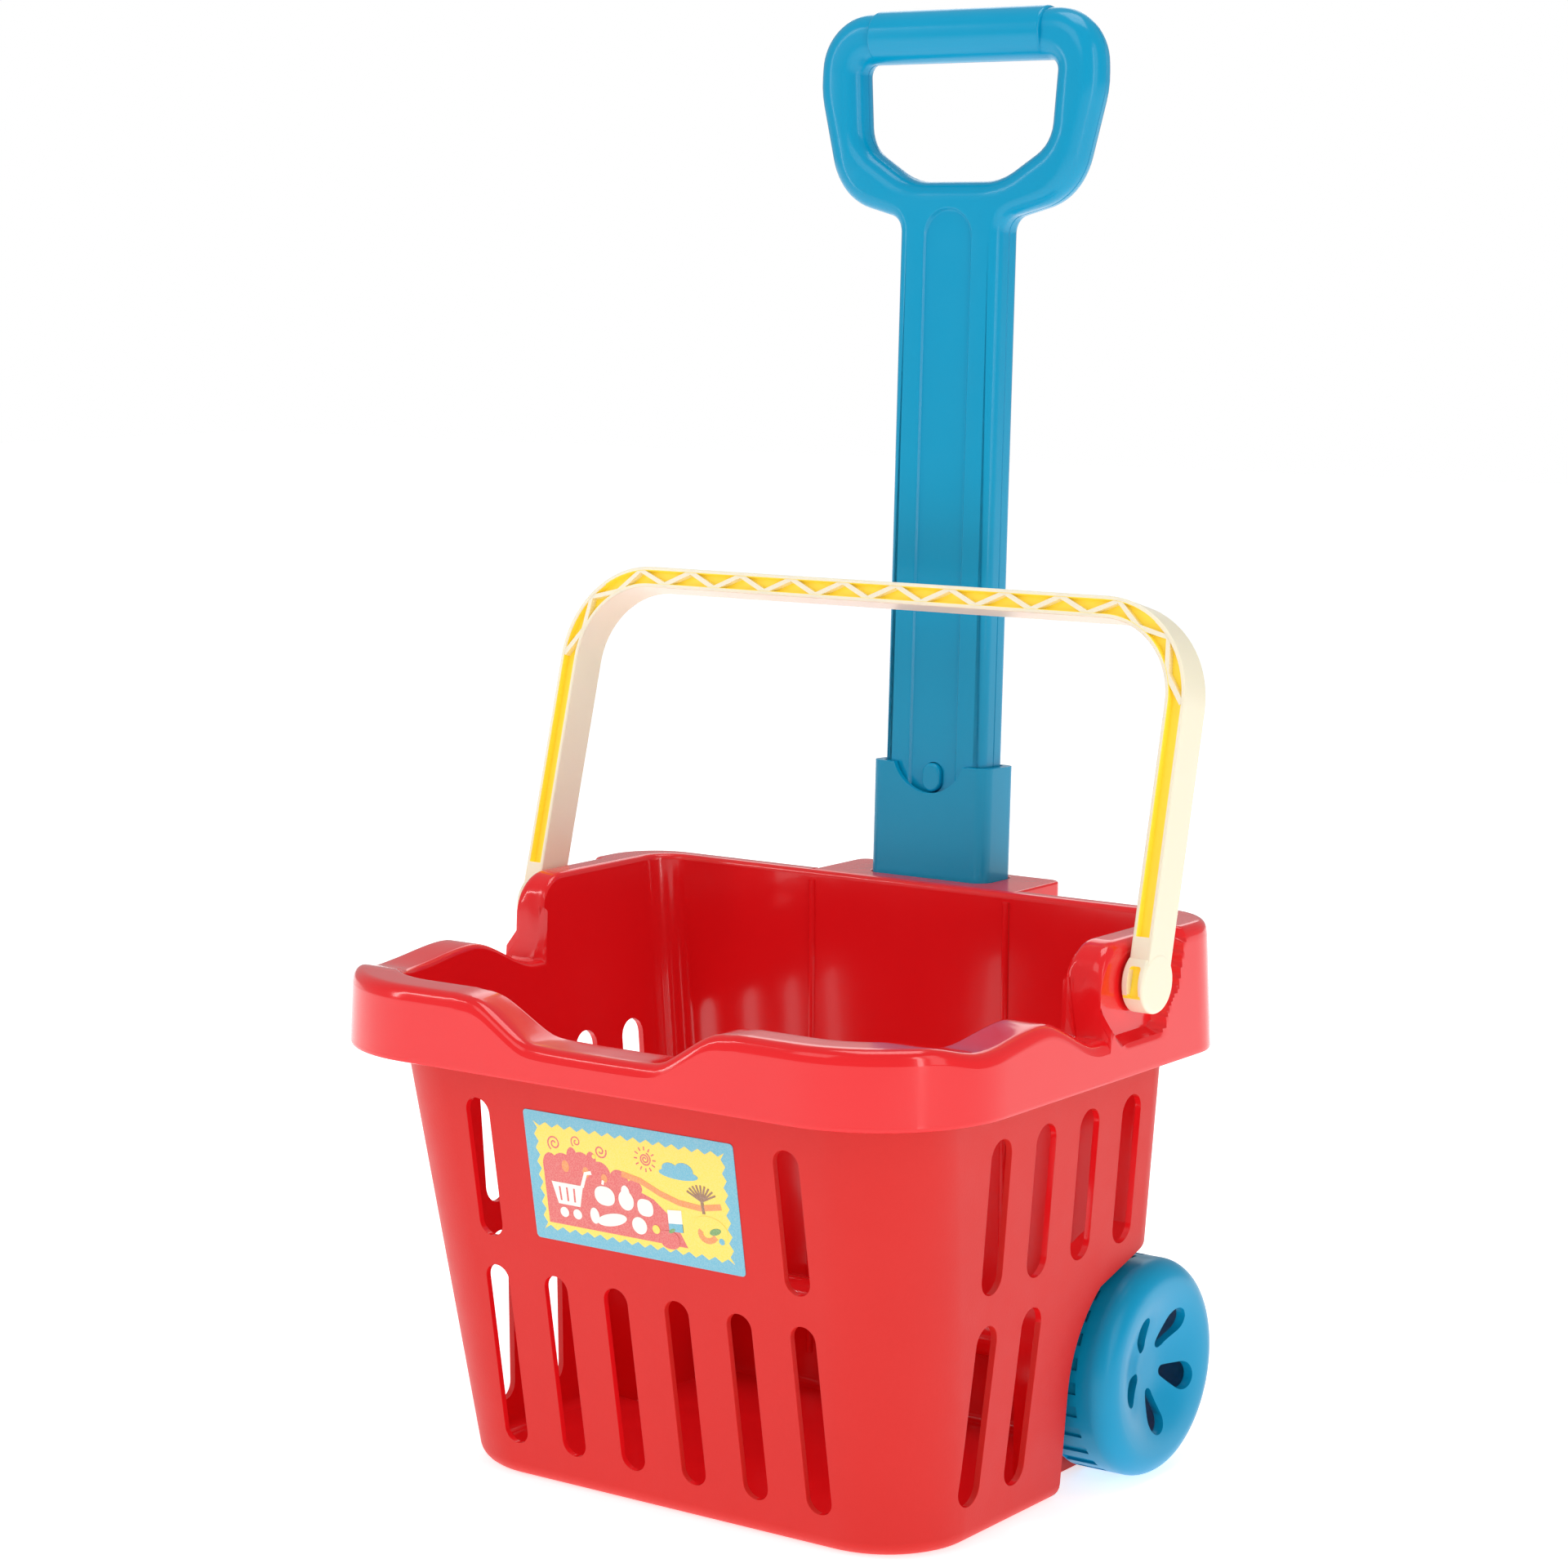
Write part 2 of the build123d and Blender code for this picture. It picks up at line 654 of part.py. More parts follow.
spring_front = button_seat - button_flange - 0.05
spring_length = spring_front + cavity_back - 0.05
spring_line = Wire([Edge.make_helix(spring_length / spring_turns - 0.15, spring_length - 1.2,
                                    spring_radius)])
with BuildPart() as coil:
    with BuildSketch(Plane(origin=spring_line @ 0, z_dir=spring_line % 0)):
        Circle(spring_wire / 2)
    sweep(path=spring_line, is_frenet=True)
spring_plane = Plane(origin=middle.from_local_coords(Vector(0, button_level, -cavity_back + 0.5)),
                     x_dir=(1, 0, 0), z_dir=middle.z_dir)
latch_spring = spring_plane.location * coil.part
save(latch_spring, "latch_spring")

# ---- shoe in the foot of the tube; its lips stop the handle at full height ----
with BuildPart() as tube_shoe:
    with BuildSketch(column.offset(tube_foot - shoe_height)):
        Rectangle(shoe_width, bore_depth - 5)
        RectangleRounded(tube_width - 1, tube_depth - 1, tube_round)
    extrude(amount=shoe_height)
    with BuildSketch(column.offset(tube_foot)):
        with Locations((0, (groove_depth) / 2)):
            Rectangle(2 * cavity_half - 0.2, cavity_front + cavity_back - 0.2)
    extrude(amount=shoe_plug)
save(tube_shoe.part, "tube_shoe")

# ---- wheels on their axle ----
face_x = body_half_width + bush_flange + washer_thickness + 2 * seat_gap
wheel_outside = face_x + wheel_width
hub_face = wheel_outside - wheel_dish
bore_end = hub_face - wheel_wall - 1.5


def petal():
    """Teardrop on +Y: narrow near the hub, wide towards the rim."""
    with BuildSketch(Plane.XY) as shape:
        with Locations((petal_inner + petal_tip_radius, 0)):
            Circle(petal_tip_radius)
        with Locations((petal_outer - petal_end_radius, 0)):
            Circle(petal_end_radius)
        make_hull()
    return shape.sketch


axle_line = Plane.YZ.shift_origin((0, axle_y, wheel_radius))
wheel_section = Plane(origin=(0, axle_y, wheel_radius), x_dir=(1, 0, 0), z_dir=(0, 0, 1))
with BuildPart() as right_wheel:
    with BuildSketch(wheel_section):
        with BuildLine():
            Polyline((bore_end, 0), (hub_face, 0), (hub_face, hub_radius - 2))
            Spline((hub_face, hub_radius - 2), (wheel_outside - 0.4, wheel_rim_radius - 1),
                   (wheel_outside, wheel_radius - wheel_shoulder), tangents=[(0, 1), (0, 1)])
            RadiusArc((wheel_outside, wheel_radius - wheel_shoulder),
                      (wheel_outside - wheel_shoulder, wheel_radius), -wheel_shoulder)
            Polyline((wheel_outside - wheel_shoulder, wheel_radius), (face_x, wheel_radius),
                     (face_x, wheel_radius - wheel_wall - tread_depth),
                     (wheel_outside - wheel_shoulder - 1, wheel_radius - wheel_wall - tread_depth),
                     (wheel_outside - wheel_wall - 1, wheel_rim_radius - 1),
                     (hub_face - wheel_wall, hub_radius + 3), (hub_face - wheel_wall, hub_radius),
                     (face_x, hub_radius), (face_x, axle_radius), (bore_end, axle_radius),
                     (bore_end, 0))
        make_face()
    revolve(axis=Axis((0, axle_y, wheel_radius), (1, 0, 0)))
    with BuildSketch(axle_line.offset(face_x + 4)):
        with PolarLocations(0, petal_count, start_angle=petal_start):
            add(petal())
    extrude(amount=wheel_width, mode=Mode.SUBTRACT)
    with BuildSketch(axle_line.offset(face_x + 1.5)):
        with PolarLocations(wheel_radius, tread_count):
            Rectangle(2 * tread_depth, math.pi * wheel_radius / tread_count)
    extrude(amount=tread_width, mode=Mode.SUBTRACT)
right_side = {"wheel_right": right_wheel.part}

with BuildPart() as washer:
    with BuildSketch(axle_line.offset(body_half_width + bush_flange + seat_gap)):
        Circle(washer_radius)
        Circle(axle_radius + running_gap, mode=Mode.SUBTRACT)
    extrude(amount=washer_thickness)
right_side["axle_washer_right"] = washer.part

with BuildPart() as bush:
    with BuildSketch(axle_line.offset(body_half_width)):
        Circle(bush_flange_radius)
    extrude(amount=bush_flange)
    with BuildSketch(axle_line.offset(body_half_width)):
        Circle(bush_radius)
    extrude(amount=-bush_length)
    with BuildSketch(axle_line.offset(body_half_width + bush_flange)):
        Circle(axle_radius + running_gap)
    extrude(amount=-bush_length - bush_flange, mode=Mode.SUBTRACT)
right_side["axle_bush_right"] = bush.part

with BuildPart() as axle:
    with BuildSketch(axle_line):
        Circle(axle_radius)
    extrude(amount=bore_end, both=True)
    chamfer(axle.edges().filter_by(GeomType.CIRCLE), length=0.6)
save(axle.part, "axle")

# ---- carry bail, drawn upright in its own plane and leaned back about its pins ----
bail_plane = Plane(origin=(0, pivot_y, pivot_z), x_dir=(1, 0, 0), z_dir=(0, -1, 0)).rotated(
    (-bail_lean, 0, 0))
boss_inside = ear_wall_x + ear_gap
arm_outside = boss_inside + bail_boss_thick
top_half = arm_outside - bail_taper


def bail_outline(inset):
    """U shape of the bail seen from the front, inset from its outside."""
    with BuildSketch(Plane.XY) as shape:
        with BuildLine():
            Polyline((-arm_outside + inset, 0), (-top_half + inset, bail_rise - inset),
                     (top_half - inset, bail_rise - inset), (arm_outside - inset, 0), close=True)
        make_face()
        fillet(shape.vertices().group_by(Axis.Y)[-1], radius=bail_corner - inset)
    return shape.sketch


truss_count = int(2 * (top_half - bail_corner) / bail_truss_pitch)
with BuildPart() as carry_bail:
    with BuildSketch(bail_plane.offset(-bail_band / 2)):
        add(bail_outline(0))
        add(bail_outline(bail_thick), mode=Mode.SUBTRACT)
    extrude(amount=bail_band)
    with BuildSketch(Plane.YZ.offset(boss_inside)):
        with Locations((pivot_y, pivot_z)):
            Circle(bail_boss_radius)
    extrude(amount=bail_boss_thick)
    with BuildSketch(Plane.YZ.offset(-boss_inside)):
        with Locations((pivot_y, pivot_z)):
            Circle(bail_boss_radius)
    extrude(amount=-bail_boss_thick)
    with BuildSketch(bail_plane.offset(bail_band / 2)):
        with Locations((0, bail_boss_radius + 4)):
            Rectangle(2 * rim_width, 2 * bail_rise, align=(Align.CENTER, Align.MIN))
        add(bail_outline(bail_channel_wall), mode=Mode.INTERSECT)
        add(bail_outline(bail_thick - bail_channel_wall), mode=Mode.SUBTRACT)
    extrude(amount=-bail_channel_depth, mode=Mode.SUBTRACT)
    # zigzag ribs across the channel of the top bar
    with BuildSketch(bail_plane.offset(bail_band / 2 - bail_channel_depth)):
        for i in range(truss_count + 1):
            with Locations(((i - truss_count / 2) * bail_truss_pitch, bail_rise - bail_thick / 2)):
                Rectangle(bail_truss_rib, bail_thick + 2, rotation=50 if i % 2 else -50)
        add(bail_outline(bail_channel_wall / 2), mode=Mode.INTERSECT)
        add(bail_outline(bail_thick - bail_channel_wall / 2), mode=Mode.SUBTRACT)
    extrude(amount=bail_channel_depth)
    # pins that snap into the ears
    for side in (1, -1):
        with BuildSketch(Plane.YZ.offset(side * boss_inside)):
            with Locations((pivot_y, pivot_z)):
                Circle(pin_radius)
        extrude(amount=-side * (ear_gap + wall + seat_gap + clip_thick + 1.2))
save(carry_bail.part, "carry_bail")

with BuildPart() as clip:
    with BuildSketch(Plane.YZ.offset(ear_wall_x - wall - seat_gap)):
        with Locations((pivot_y, pivot_z)):
            Circle(clip_radius)
            Circle(pin_radius, mode=Mode.SUBTRACT)
    extrude(amount=-clip_thick)
right_side["bail_clip_right"] = clip.part

for name, part in right_side.items():
    save(part, name)
    save(mirror(part, about=Plane.YZ), name.replace("right", "left"))
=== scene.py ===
import bpy
import bmesh
import math
from mathutils import Matrix, Vector
from mathutils.geometry import tessellate_polygon


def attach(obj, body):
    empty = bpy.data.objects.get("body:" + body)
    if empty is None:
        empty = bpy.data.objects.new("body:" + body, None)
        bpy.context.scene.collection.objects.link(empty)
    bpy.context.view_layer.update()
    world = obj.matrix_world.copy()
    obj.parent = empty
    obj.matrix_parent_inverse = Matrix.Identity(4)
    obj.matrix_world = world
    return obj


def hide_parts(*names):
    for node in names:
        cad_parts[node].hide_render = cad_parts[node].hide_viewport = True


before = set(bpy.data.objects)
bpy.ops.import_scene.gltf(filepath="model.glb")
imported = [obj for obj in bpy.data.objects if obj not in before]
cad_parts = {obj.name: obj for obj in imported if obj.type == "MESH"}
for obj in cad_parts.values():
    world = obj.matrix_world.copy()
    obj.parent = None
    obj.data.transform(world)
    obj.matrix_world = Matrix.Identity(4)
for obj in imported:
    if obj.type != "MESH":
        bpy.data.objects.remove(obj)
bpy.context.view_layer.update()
mm = 0.001
print("frame loaded")


# Small helpers for meshes; every outline is in millimetres until meshObject

def smooth(value, low, high):
    t = min(max((value - low) / (high - low), 0), 1)
    return t * t * (3 - 2 * t)


def followPoints(points, value):  # soft steps through a few (place, height) points
    if value <= points[0][0]:
        return points[0][1]
    for (a, heightA), (b, heightB) in zip(points, points[1:]):
        if value <= b:
            return heightA + (heightB - heightA) * smooth(value, a, b)
    return points[-1][1]


def meshObject(name, points, faces, place=None):
    mesh = bpy.data.meshes.new(name)
    mesh.from_pydata([tuple(c * mm for c in p) for p in points], [], faces)
    if place:
        mesh.transform(place)
    mesh.update()
    thing = bpy.data.objects.new(name, mesh)
    bpy.context.collection.objects.link(thing)
    return thing


def editMesh(thing, change):
    shape = bmesh.new()
    shape.from_mesh(thing.data)
    change(shape)
    shape.to_mesh(thing.data)
    shape.free()
    return thing


def turnOutwards(thing):
    return editMesh(thing, lambda shape: bmesh.ops.recalc_face_normals(shape, faces=shape.faces))


def mergeDoubles(thing, distance=2e-6):
    return editMesh(thing, lambda shape: bmesh.ops.remove_doubles(shape, verts=shape.verts, dist=distance))


def applyModifiers(thing):
    mesh = bpy.data.meshes.new_from_object(thing.evaluated_get(bpy.context.evaluated_depsgraph_get()))
    thing.modifiers.clear()
    thing.data = mesh
    return thing


def join(name, things):
    shape = bmesh.new()
    for thing in things:
        shape.from_mesh(thing.data)
        bpy.data.objects.remove(thing)
    mesh = bpy.data.meshes.new(name)
    shape.to_mesh(mesh)
    shape.free()
    joined = bpy.data.objects.new(name, mesh)
    bpy.context.collection.objects.link(joined)
    return joined


def combine(thing, tool, kind="DIFFERENCE"):
    step = thing.modifiers.new("combine", "BOOLEAN")
    step.object = tool
    step.operation = kind
    step.solver = "EXACT"
    applyModifiers(thing)
    bpy.data.objects.remove(tool)
    return thing


def softenEdges(thing, width, segments=3, angle=32):
    step = thing.modifiers.new("soften", "BEVEL")
    step.width = width * mm
    step.segments = segments
    step.limit_method = "ANGLE"
    step.angle_limit = math.radians(angle)
    step.use_clamp_overlap = True
    return applyModifiers(thing)


def finishShape(thing, angle=38):  # smooth shading that stays flat on flat faces and crisp on real edges
    mergeDoubles(thing)
    for polygon in thing.data.polygons:
        polygon.use_smooth = True
    thing.data.set_sharp_from_angle(angle=math.radians(angle))
    step = thing.modifiers.new("flatFaces", "WEIGHTED_NORMAL")
    step.keep_sharp = True
    step.weight = 60
    return applyModifiers(thing)


def roundCorners(corners, stepDegrees=9):  # corners are (u, v, radius), anticlockwise
    outline = []
    for i, (u, v, radius) in enumerate(corners):
        here = Vector((u, v))
        before = (Vector(corners[i - 1][:2]) - here).normalized()
        after = (Vector(corners[(i + 1) % len(corners)][:2]) - here).normalized()
        if radius == 0:
            outline.append((u, v))
            continue
        half = before.angle(after) / 2
        middle = here + (before + after).normalized() * radius / math.sin(half)
        start = here + before * radius / math.tan(half) - middle
        turn = math.pi - 2 * half
        steps = max(2, math.ceil(math.degrees(turn) / stepDegrees))
        side = 1 if before.cross(after) < 0 else -1
        for k in range(steps + 1):
            a = side * turn * k / steps
            outline.append((middle.x + start.x * math.cos(a) - start.y * math.sin(a),
                            middle.y + start.x * math.sin(a) + start.y * math.cos(a)))
    return outline


def slotOutline(width, height, middle, lean=0, stepDegrees=12):
    r, straight = width / 2, height / 2 - width / 2
    steps = round(180 / stepDegrees)
    points = []
    for end in (0, 1):
        for i in range(steps + 1):
            a = math.pi * (i / steps + end)
            u, v = r * math.cos(a), r * math.sin(a) + (straight if end == 0 else -straight)
            t = math.radians(lean)
            points.append((middle[0] + u * math.cos(t) + v * math.sin(t),
                           middle[1] + v * math.cos(t) - u * math.sin(t)))
    return points


def circleOutline(radius, middle, count=32):
    return [(middle[0] + radius * math.cos(2 * math.pi * i / count),
             middle[1] + radius * math.sin(2 * math.pi * i / count)) for i in range(count)]


def boxOutline(lowU, lowV, highU, highV, radius=0):
    return roundCorners([(lowU, lowV, radius), (highU, lowV, radius), (highU, highV, radius),
                         (lowU, highV, radius)])


def prism(outline, place, matrix=None):
    # closed solid between two copies of an outline; place turns (u, v, end) into a point
    count = len(outline)
    points = [place(u, v, end) for end in (0, 1) for u, v in outline]
    faces = [tuple(range(count)), tuple(range(2 * count - 1, count - 1, -1))]
    faces += [(i, (i + 1) % count, count + (i + 1) % count, count + i) for i in range(count)]
    return turnOutwards(meshObject("prism", points, faces, matrix))


def alongX(outline, low, high, matrix=None):  # outline in (y, z)
    return prism(outline, lambda u, v, end: (high if end else low, u, v), matrix)


def alongY(outline, low, high, matrix=None):  # outline in (x, z)
    return prism(outline, lambda u, v, end: (u, high if end else low, v), matrix)


def alongZ(outline, low, high, matrix=None):  # outline in (x, y)
    return prism(outline, lambda u, v, end: (u, v, high if end else low), matrix)


def offsetOutline(outline, inset):
    # moves an anticlockwise outline inwards; inset is a length, or a length for each point
    moved = []
    count = len(outline)
    for i in range(count):
        here = Vector(outline[i])
        a = (here - Vector(outline[i - 1])).normalized()
        b = (Vector(outline[(i + 1) % count]) - here).normalized()
        normalA, normalB = Vector((-a.y, a.x)), Vector((-b.y, b.x))
        middle = (normalA + normalB).normalized()
        length = inset[i] if isinstance(inset, list) else inset
        moved.append(tuple(here + middle * length / max(middle.dot(normalA), 0.4)))
    return moved


def addRings(points, faces, rings):
    # bands of faces between rings of equally many points; gives the rings' point numbers
    numbers = []
    for ring in rings:
        numbers.append(list(range(len(points), len(points) + len(ring))))
        points += ring
    for low, high in zip(numbers, numbers[1:]):
        n = len(low)
        faces += [(low[i], low[(i + 1) % n], high[(i + 1) % n], high[i]) for i in range(n)]
    return numbers


def fillFlat(points, faces, loops):
    # flat faces inside the first loop of point numbers and outside the others
    order = [i for loop in loops for i in loop]
    for triangle in tessellate_polygon([[Vector(points[i]) for i in loop] for loop in loops]):
        faces.append(tuple(order[k] for k in triangle))


def revolveX(profile, count, matrix=None):
    # turns a profile of (x, radius) about the X axis; its ends lie on the axis
    points = [(profile[0][0], 0, 0), (profile[-1][0], 0, 0)]
    faces = []
    inner = profile[1:-1]
    n = len(inner)
    for i in range(count):
        turn = math.radians(360 * i / count)
        points += [(x, r * math.cos(turn), r * math.sin(turn)) for x, r in inner]
        a, b = 2 + i * n, 2 + (i + 1) % count * n
        faces += [(0, a, b), (1, b + n - 1, a + n - 1)]
        faces += [(a + k, a + k + 1, b + k + 1, b + k) for k in range(n - 1)]
    return turnOutwards(meshObject("revolved", points, faces, matrix))


def arc(middle, radius, start, stop, steps=8):
    turns = [math.radians(start + (stop - start) * i / steps) for i in range(steps + 1)]
    return [(middle[0] + radius * math.cos(a), middle[1] + radius * math.sin(a)) for a in turns]


# Materials

def linear(hexColour):
    parts = [int(hexColour[i:i + 2], 16) / 255 for i in (1, 3, 5)]
    return tuple(c / 12.92 if c <= 0.04045 else ((c + 0.055) / 1.055) ** 2.4 for c in parts) + (1,)


def addNode(tree, kind, settings=None, values=None, links=None):
    node = tree.nodes.new(kind)
    for key, value in (settings or {}).items():
        setattr(node, key, value)
    for socket, value in (values or {}).items():
        node.inputs[socket].default_value = value
    for socket, source in (links or {}).items():
        tree.links.new(source, node.inputs[socket])
    return node


def plainMaterial(name, settings):
    material = bpy.data.materials.new(name)
    material.use_nodes = True
    shader = material.node_tree.nodes["Principled BSDF"]
    for socket, value in settings.items():
        shader.inputs[socket].default_value = value
    return material, material.node_tree, shader


def mouldedPlastic(name, colour, deeper, roughness, grain, grainHeight, wave, waveHeight, settings=None):
    # injection-moulded plastic: flow tint, a tool texture and slow sink marks, all from sizes in mm
    material, tree, shader = plainMaterial(name, {"IOR": 1.49, **(settings or {})})
    place = addNode(tree, "ShaderNodeTexCoord").outputs["Object"]
    flow = addNode(tree, "ShaderNodeTexNoise", values={"Scale": 1 / (60 * mm), "Detail": 3},
                   links={"Vector": place})
    tint = addNode(tree, "ShaderNodeMix", {"data_type": "RGBA"}, {6: linear(colour), 7: linear(deeper)},
                   {0: flow.outputs["Fac"]})
    tree.links.new(tint.outputs[2], shader.inputs["Base Color"])
    haze = addNode(tree, "ShaderNodeTexNoise", values={"Scale": 1 / (9 * mm), "Detail": 4},
                   links={"Vector": place})
    gloss = addNode(tree, "ShaderNodeMapRange",
                    values={"To Min": roughness * 0.86, "To Max": roughness * 1.14},
                    links={0: haze.outputs["Fac"]})
    tree.links.new(gloss.outputs[0], shader.inputs["Roughness"])
    fine = addNode(tree, "ShaderNodeTexNoise", values={"Scale": 1 / (grain * mm), "Detail": 2},
                   links={"Vector": place})
    slow = addNode(tree, "ShaderNodeTexNoise", values={"Scale": 1 / (wave * mm), "Detail": 1},
                   links={"Vector": place})
    sink = addNode(tree, "ShaderNodeBump", values={"Distance": waveHeight * mm},
                   links={"Height": slow.outputs["Fac"]})
    skin = addNode(tree, "ShaderNodeBump", values={"Distance": grainHeight * mm},
                   links={"Height": fine.outputs["Fac"], "Normal": sink.outputs["Normal"]})
    tree.links.new(skin.outputs["Normal"], shader.inputs["Normal"])
    return material


def zincPlatedSteel():  # bright rolled wire and screws, with fine drawing marks
    material, tree, shader = plainMaterial("zincPlatedSteel",
                                           {"Base Color": linear("#c9ccd0"), "Metallic": 1})
    place = addNode(tree, "ShaderNodeTexCoord").outputs["Object"]
    marks = addNode(tree, "ShaderNodeTexNoise", values={"Scale": 1 / (1.2 * mm), "Detail": 5},
                    links={"Vector": place})
    gloss = addNode(tree, "ShaderNodeMapRange", values={"To Min": 0.2, "To Max": 0.38},
                    links={0: marks.outputs["Fac"]})
    tree.links.new(gloss.outputs[0], shader.inputs["Roughness"])
    return material


def printedFilm(name, colour):  # offset-printed vinyl; its screen dots are drawn at 0.5 mm so that they show
    material, tree, shader = plainMaterial(name, {"Roughness": 0.34, "IOR": 1.5, "Coat Weight": 0.25,
                                                  "Coat Roughness": 0.15})
    place = addNode(tree, "ShaderNodeTexCoord").outputs["Object"]
    dots = addNode(tree, "ShaderNodeTexVoronoi", values={"Scale": 1 / (0.5 * mm)}, links={"Vector": place})
    screen = addNode(tree, "ShaderNodeMapRange", values={"From Max": 0.7, "To Min": 0.0, "To Max": 0.16},
                     links={0: dots.outputs["Distance"]})
    ink = addNode(tree, "ShaderNodeMix", {"data_type": "RGBA"}, {6: linear(colour), 7: linear("#fff7e8")},
                  {0: screen.outputs[0]})
    tree.links.new(ink.outputs[2], shader.inputs["Base Color"])
    return material


# Polypropylene basket: spark-eroded walls look soft and pale, the polished rim and inside look wet. The
# polished red's base colour is set brighter than the textured red: painted light that lifts the shade inside
# the basket.
redTextured = mouldedPlastic("redPolypropyleneTextured", "#d92a25", "#d22520", 0.46, 0.8, 0.05, 28, 0.06,
                             {"Specular IOR Level": 0.28})
redPolishedWithPaintedLight = mouldedPlastic("redPolypropylenePolishedPaintedLight", "#f01c21", "#ea161d", 0.15, 1.4, 0.004, 16, 0.09,
                             {"Specular IOR Level": 0.42, "Coat Weight": 0.3, "Coat Roughness": 0.07})
# Moulded ABS handle and wheels: satin, with a faint orange-peel.
blueAbs = mouldedPlastic("blueAbsSatin", "#009fca", "#0097c3", 0.2, 1.1, 0.004, 24, 0.09,
                         {"Specular IOR Level": 0.34})
blueTyre = mouldedPlastic("bluePolypropyleneWheel", "#009ecb", "#0095c3", 0.3, 0.9, 0.01, 18, 0.05,
                          {"Specular IOR Level": 0.3})
# Bail of ivory polypropylene; its deep channel and pin pockets are painted a deeper, faintly glowing yellow:
# painted light standing in for light bouncing inside the recesses and shining through the same translucent
# plastic.
ivory = mouldedPlastic("ivoryPolypropylene", "#fbf3da", "#f7edcf", 0.33, 1.0, 0.006, 20, 0.05,
                       {"Subsurface Weight": 0.08, "Subsurface Radius": (0.004, 0.003, 0.0015),
                        "Subsurface Scale": 1.0})
# painted light: deep yellow plus a faint emission glow, although this part is no lamp
paintedGlowYellow = mouldedPlastic("paintedGlowYellowChannel", "#fde24a", "#fbdc3c", 0.42, 1.0,
                               0.006, 20, 0.04,
                               {"Emission Color": linear("#fbdc3c"), "Emission Strength": 0.16})
whiteNylon = mouldedPlastic("whiteNylon", "#e9e7df", "#e2dfd4", 0.4, 0.9, 0.008, 12, 0.03)
steel = zincPlatedSteel()


def keep(thing, body, slot, materials, *nodes):
    # says which body carries the piece, its finish and the nodes that it stands for
    if not thing.data.materials:
        for material in materials:
            thing.data.materials.append(material)
    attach(thing, body)
    if nodes:
        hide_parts(*nodes)


# Studio

studioSizes = {
    "camera": (0.7775, -1.0949, 0.4385), "turn": 35.576, "tip": 7.903, "roll": 0.261, "lens": 86.28,
}


def makeCamera():
    turn, tip, roll = (math.radians(studioSizes[k]) for k in ("turn", "tip", "roll"))
    ahead = Vector((-math.sin(turn) * math.cos(tip), math.cos(turn) * math.cos(tip), -math.sin(tip)))
    right = Vector((math.cos(turn), math.sin(turn), 0))
    up = right.cross(ahead)
    rolledRight = right * math.cos(roll) + up * math.sin(roll)
    rolledUp = up * math.cos(roll) - right * math.sin(roll)
    camera = bpy.data.objects.new("camera", bpy.data.cameras.new("camera"))
    camera.data.lens = studioSizes["lens"]
    camera.data.clip_start = 0.05
    camera.matrix_world = Matrix((rolledRight, rolledUp, -ahead)).transposed().to_4x4()
    camera.location = studioSizes["camera"]
    bpy.context.collection.objects.link(camera)
    bpy.context.scene.camera = camera


def makeSoftbox(name, place, size, power):
    lamp = bpy.data.objects.new(name, bpy.data.lights.new(name, "AREA"))
    lamp.data.shape = "RECTANGLE"
    lamp.data.size, lamp.data.size_y = size
    lamp.data.energy = power
    lamp.location = place
    lamp.rotation_euler = (Vector((0, 0, 0.22)) - Vector(place)).to_track_quat("-Z", "Y").to_euler()
    bpy.context.collection.objects.link(lamp)


def makeStudio():
    world = bpy.data.worlds.new("studio")
    world.use_nodes = True
    world.node_tree.nodes["Background"].inputs["Color"].default_value = (1, 1, 1, 1)
    bpy.context.scene.world = world
    bpy.context.scene.view_settings.view_transform = "Standard"
    makeSoftbox("keySoftbox", (-0.5, -1.9, 1.5), (1.1, 1.1), 5.4)
    makeSoftbox("sideSoftbox", (1.9, -0.3, 1.0), (0.5, 1.5), 3.5)
    makeSoftbox("topSoftbox", (0.1, 0.1, 2.0), (1.0, 1.0), 11)
    makeSoftbox("rightStrip", (1.7, -0.75, 0.7), (0.14, 1.5), 4)
    makeSoftbox("leftStrip", (-1.3, -1.2, 0.9), (0.1, 1.3), 4)
    makeSoftbox("backSoftbox", (-0.9, 1.7, 1.2), (1.0, 1.0), 4)
    tree = world.node_tree
    seen = addNode(tree, "ShaderNodeLightPath").outputs["Is Camera Ray"]
    strength = addNode(tree, "ShaderNodeMapRange", values={"To Min": 0.42, "To Max": 1.0}, links={0: seen})
    tree.links.new(strength.outputs[0], tree.nodes["Background"].inputs["Strength"])
    floor = meshObject("studioFloor",
                       [(-6000, -6000, 0), (6000, -6000, 0), (6000, 6000, 0), (-6000, 6000, 0)],
                       [(0, 1, 2, 3)])
    floor.data.materials.append(plainMaterial("paperFloor", {
        "Base Color": linear("#fbfbfb"), "Roughness": 0.9, "Emission Color": linear("#ffffff"),
        "Emission Strength": 0.66})[0])


makeStudio()
makeCamera()
print("studio ready")

# Basket

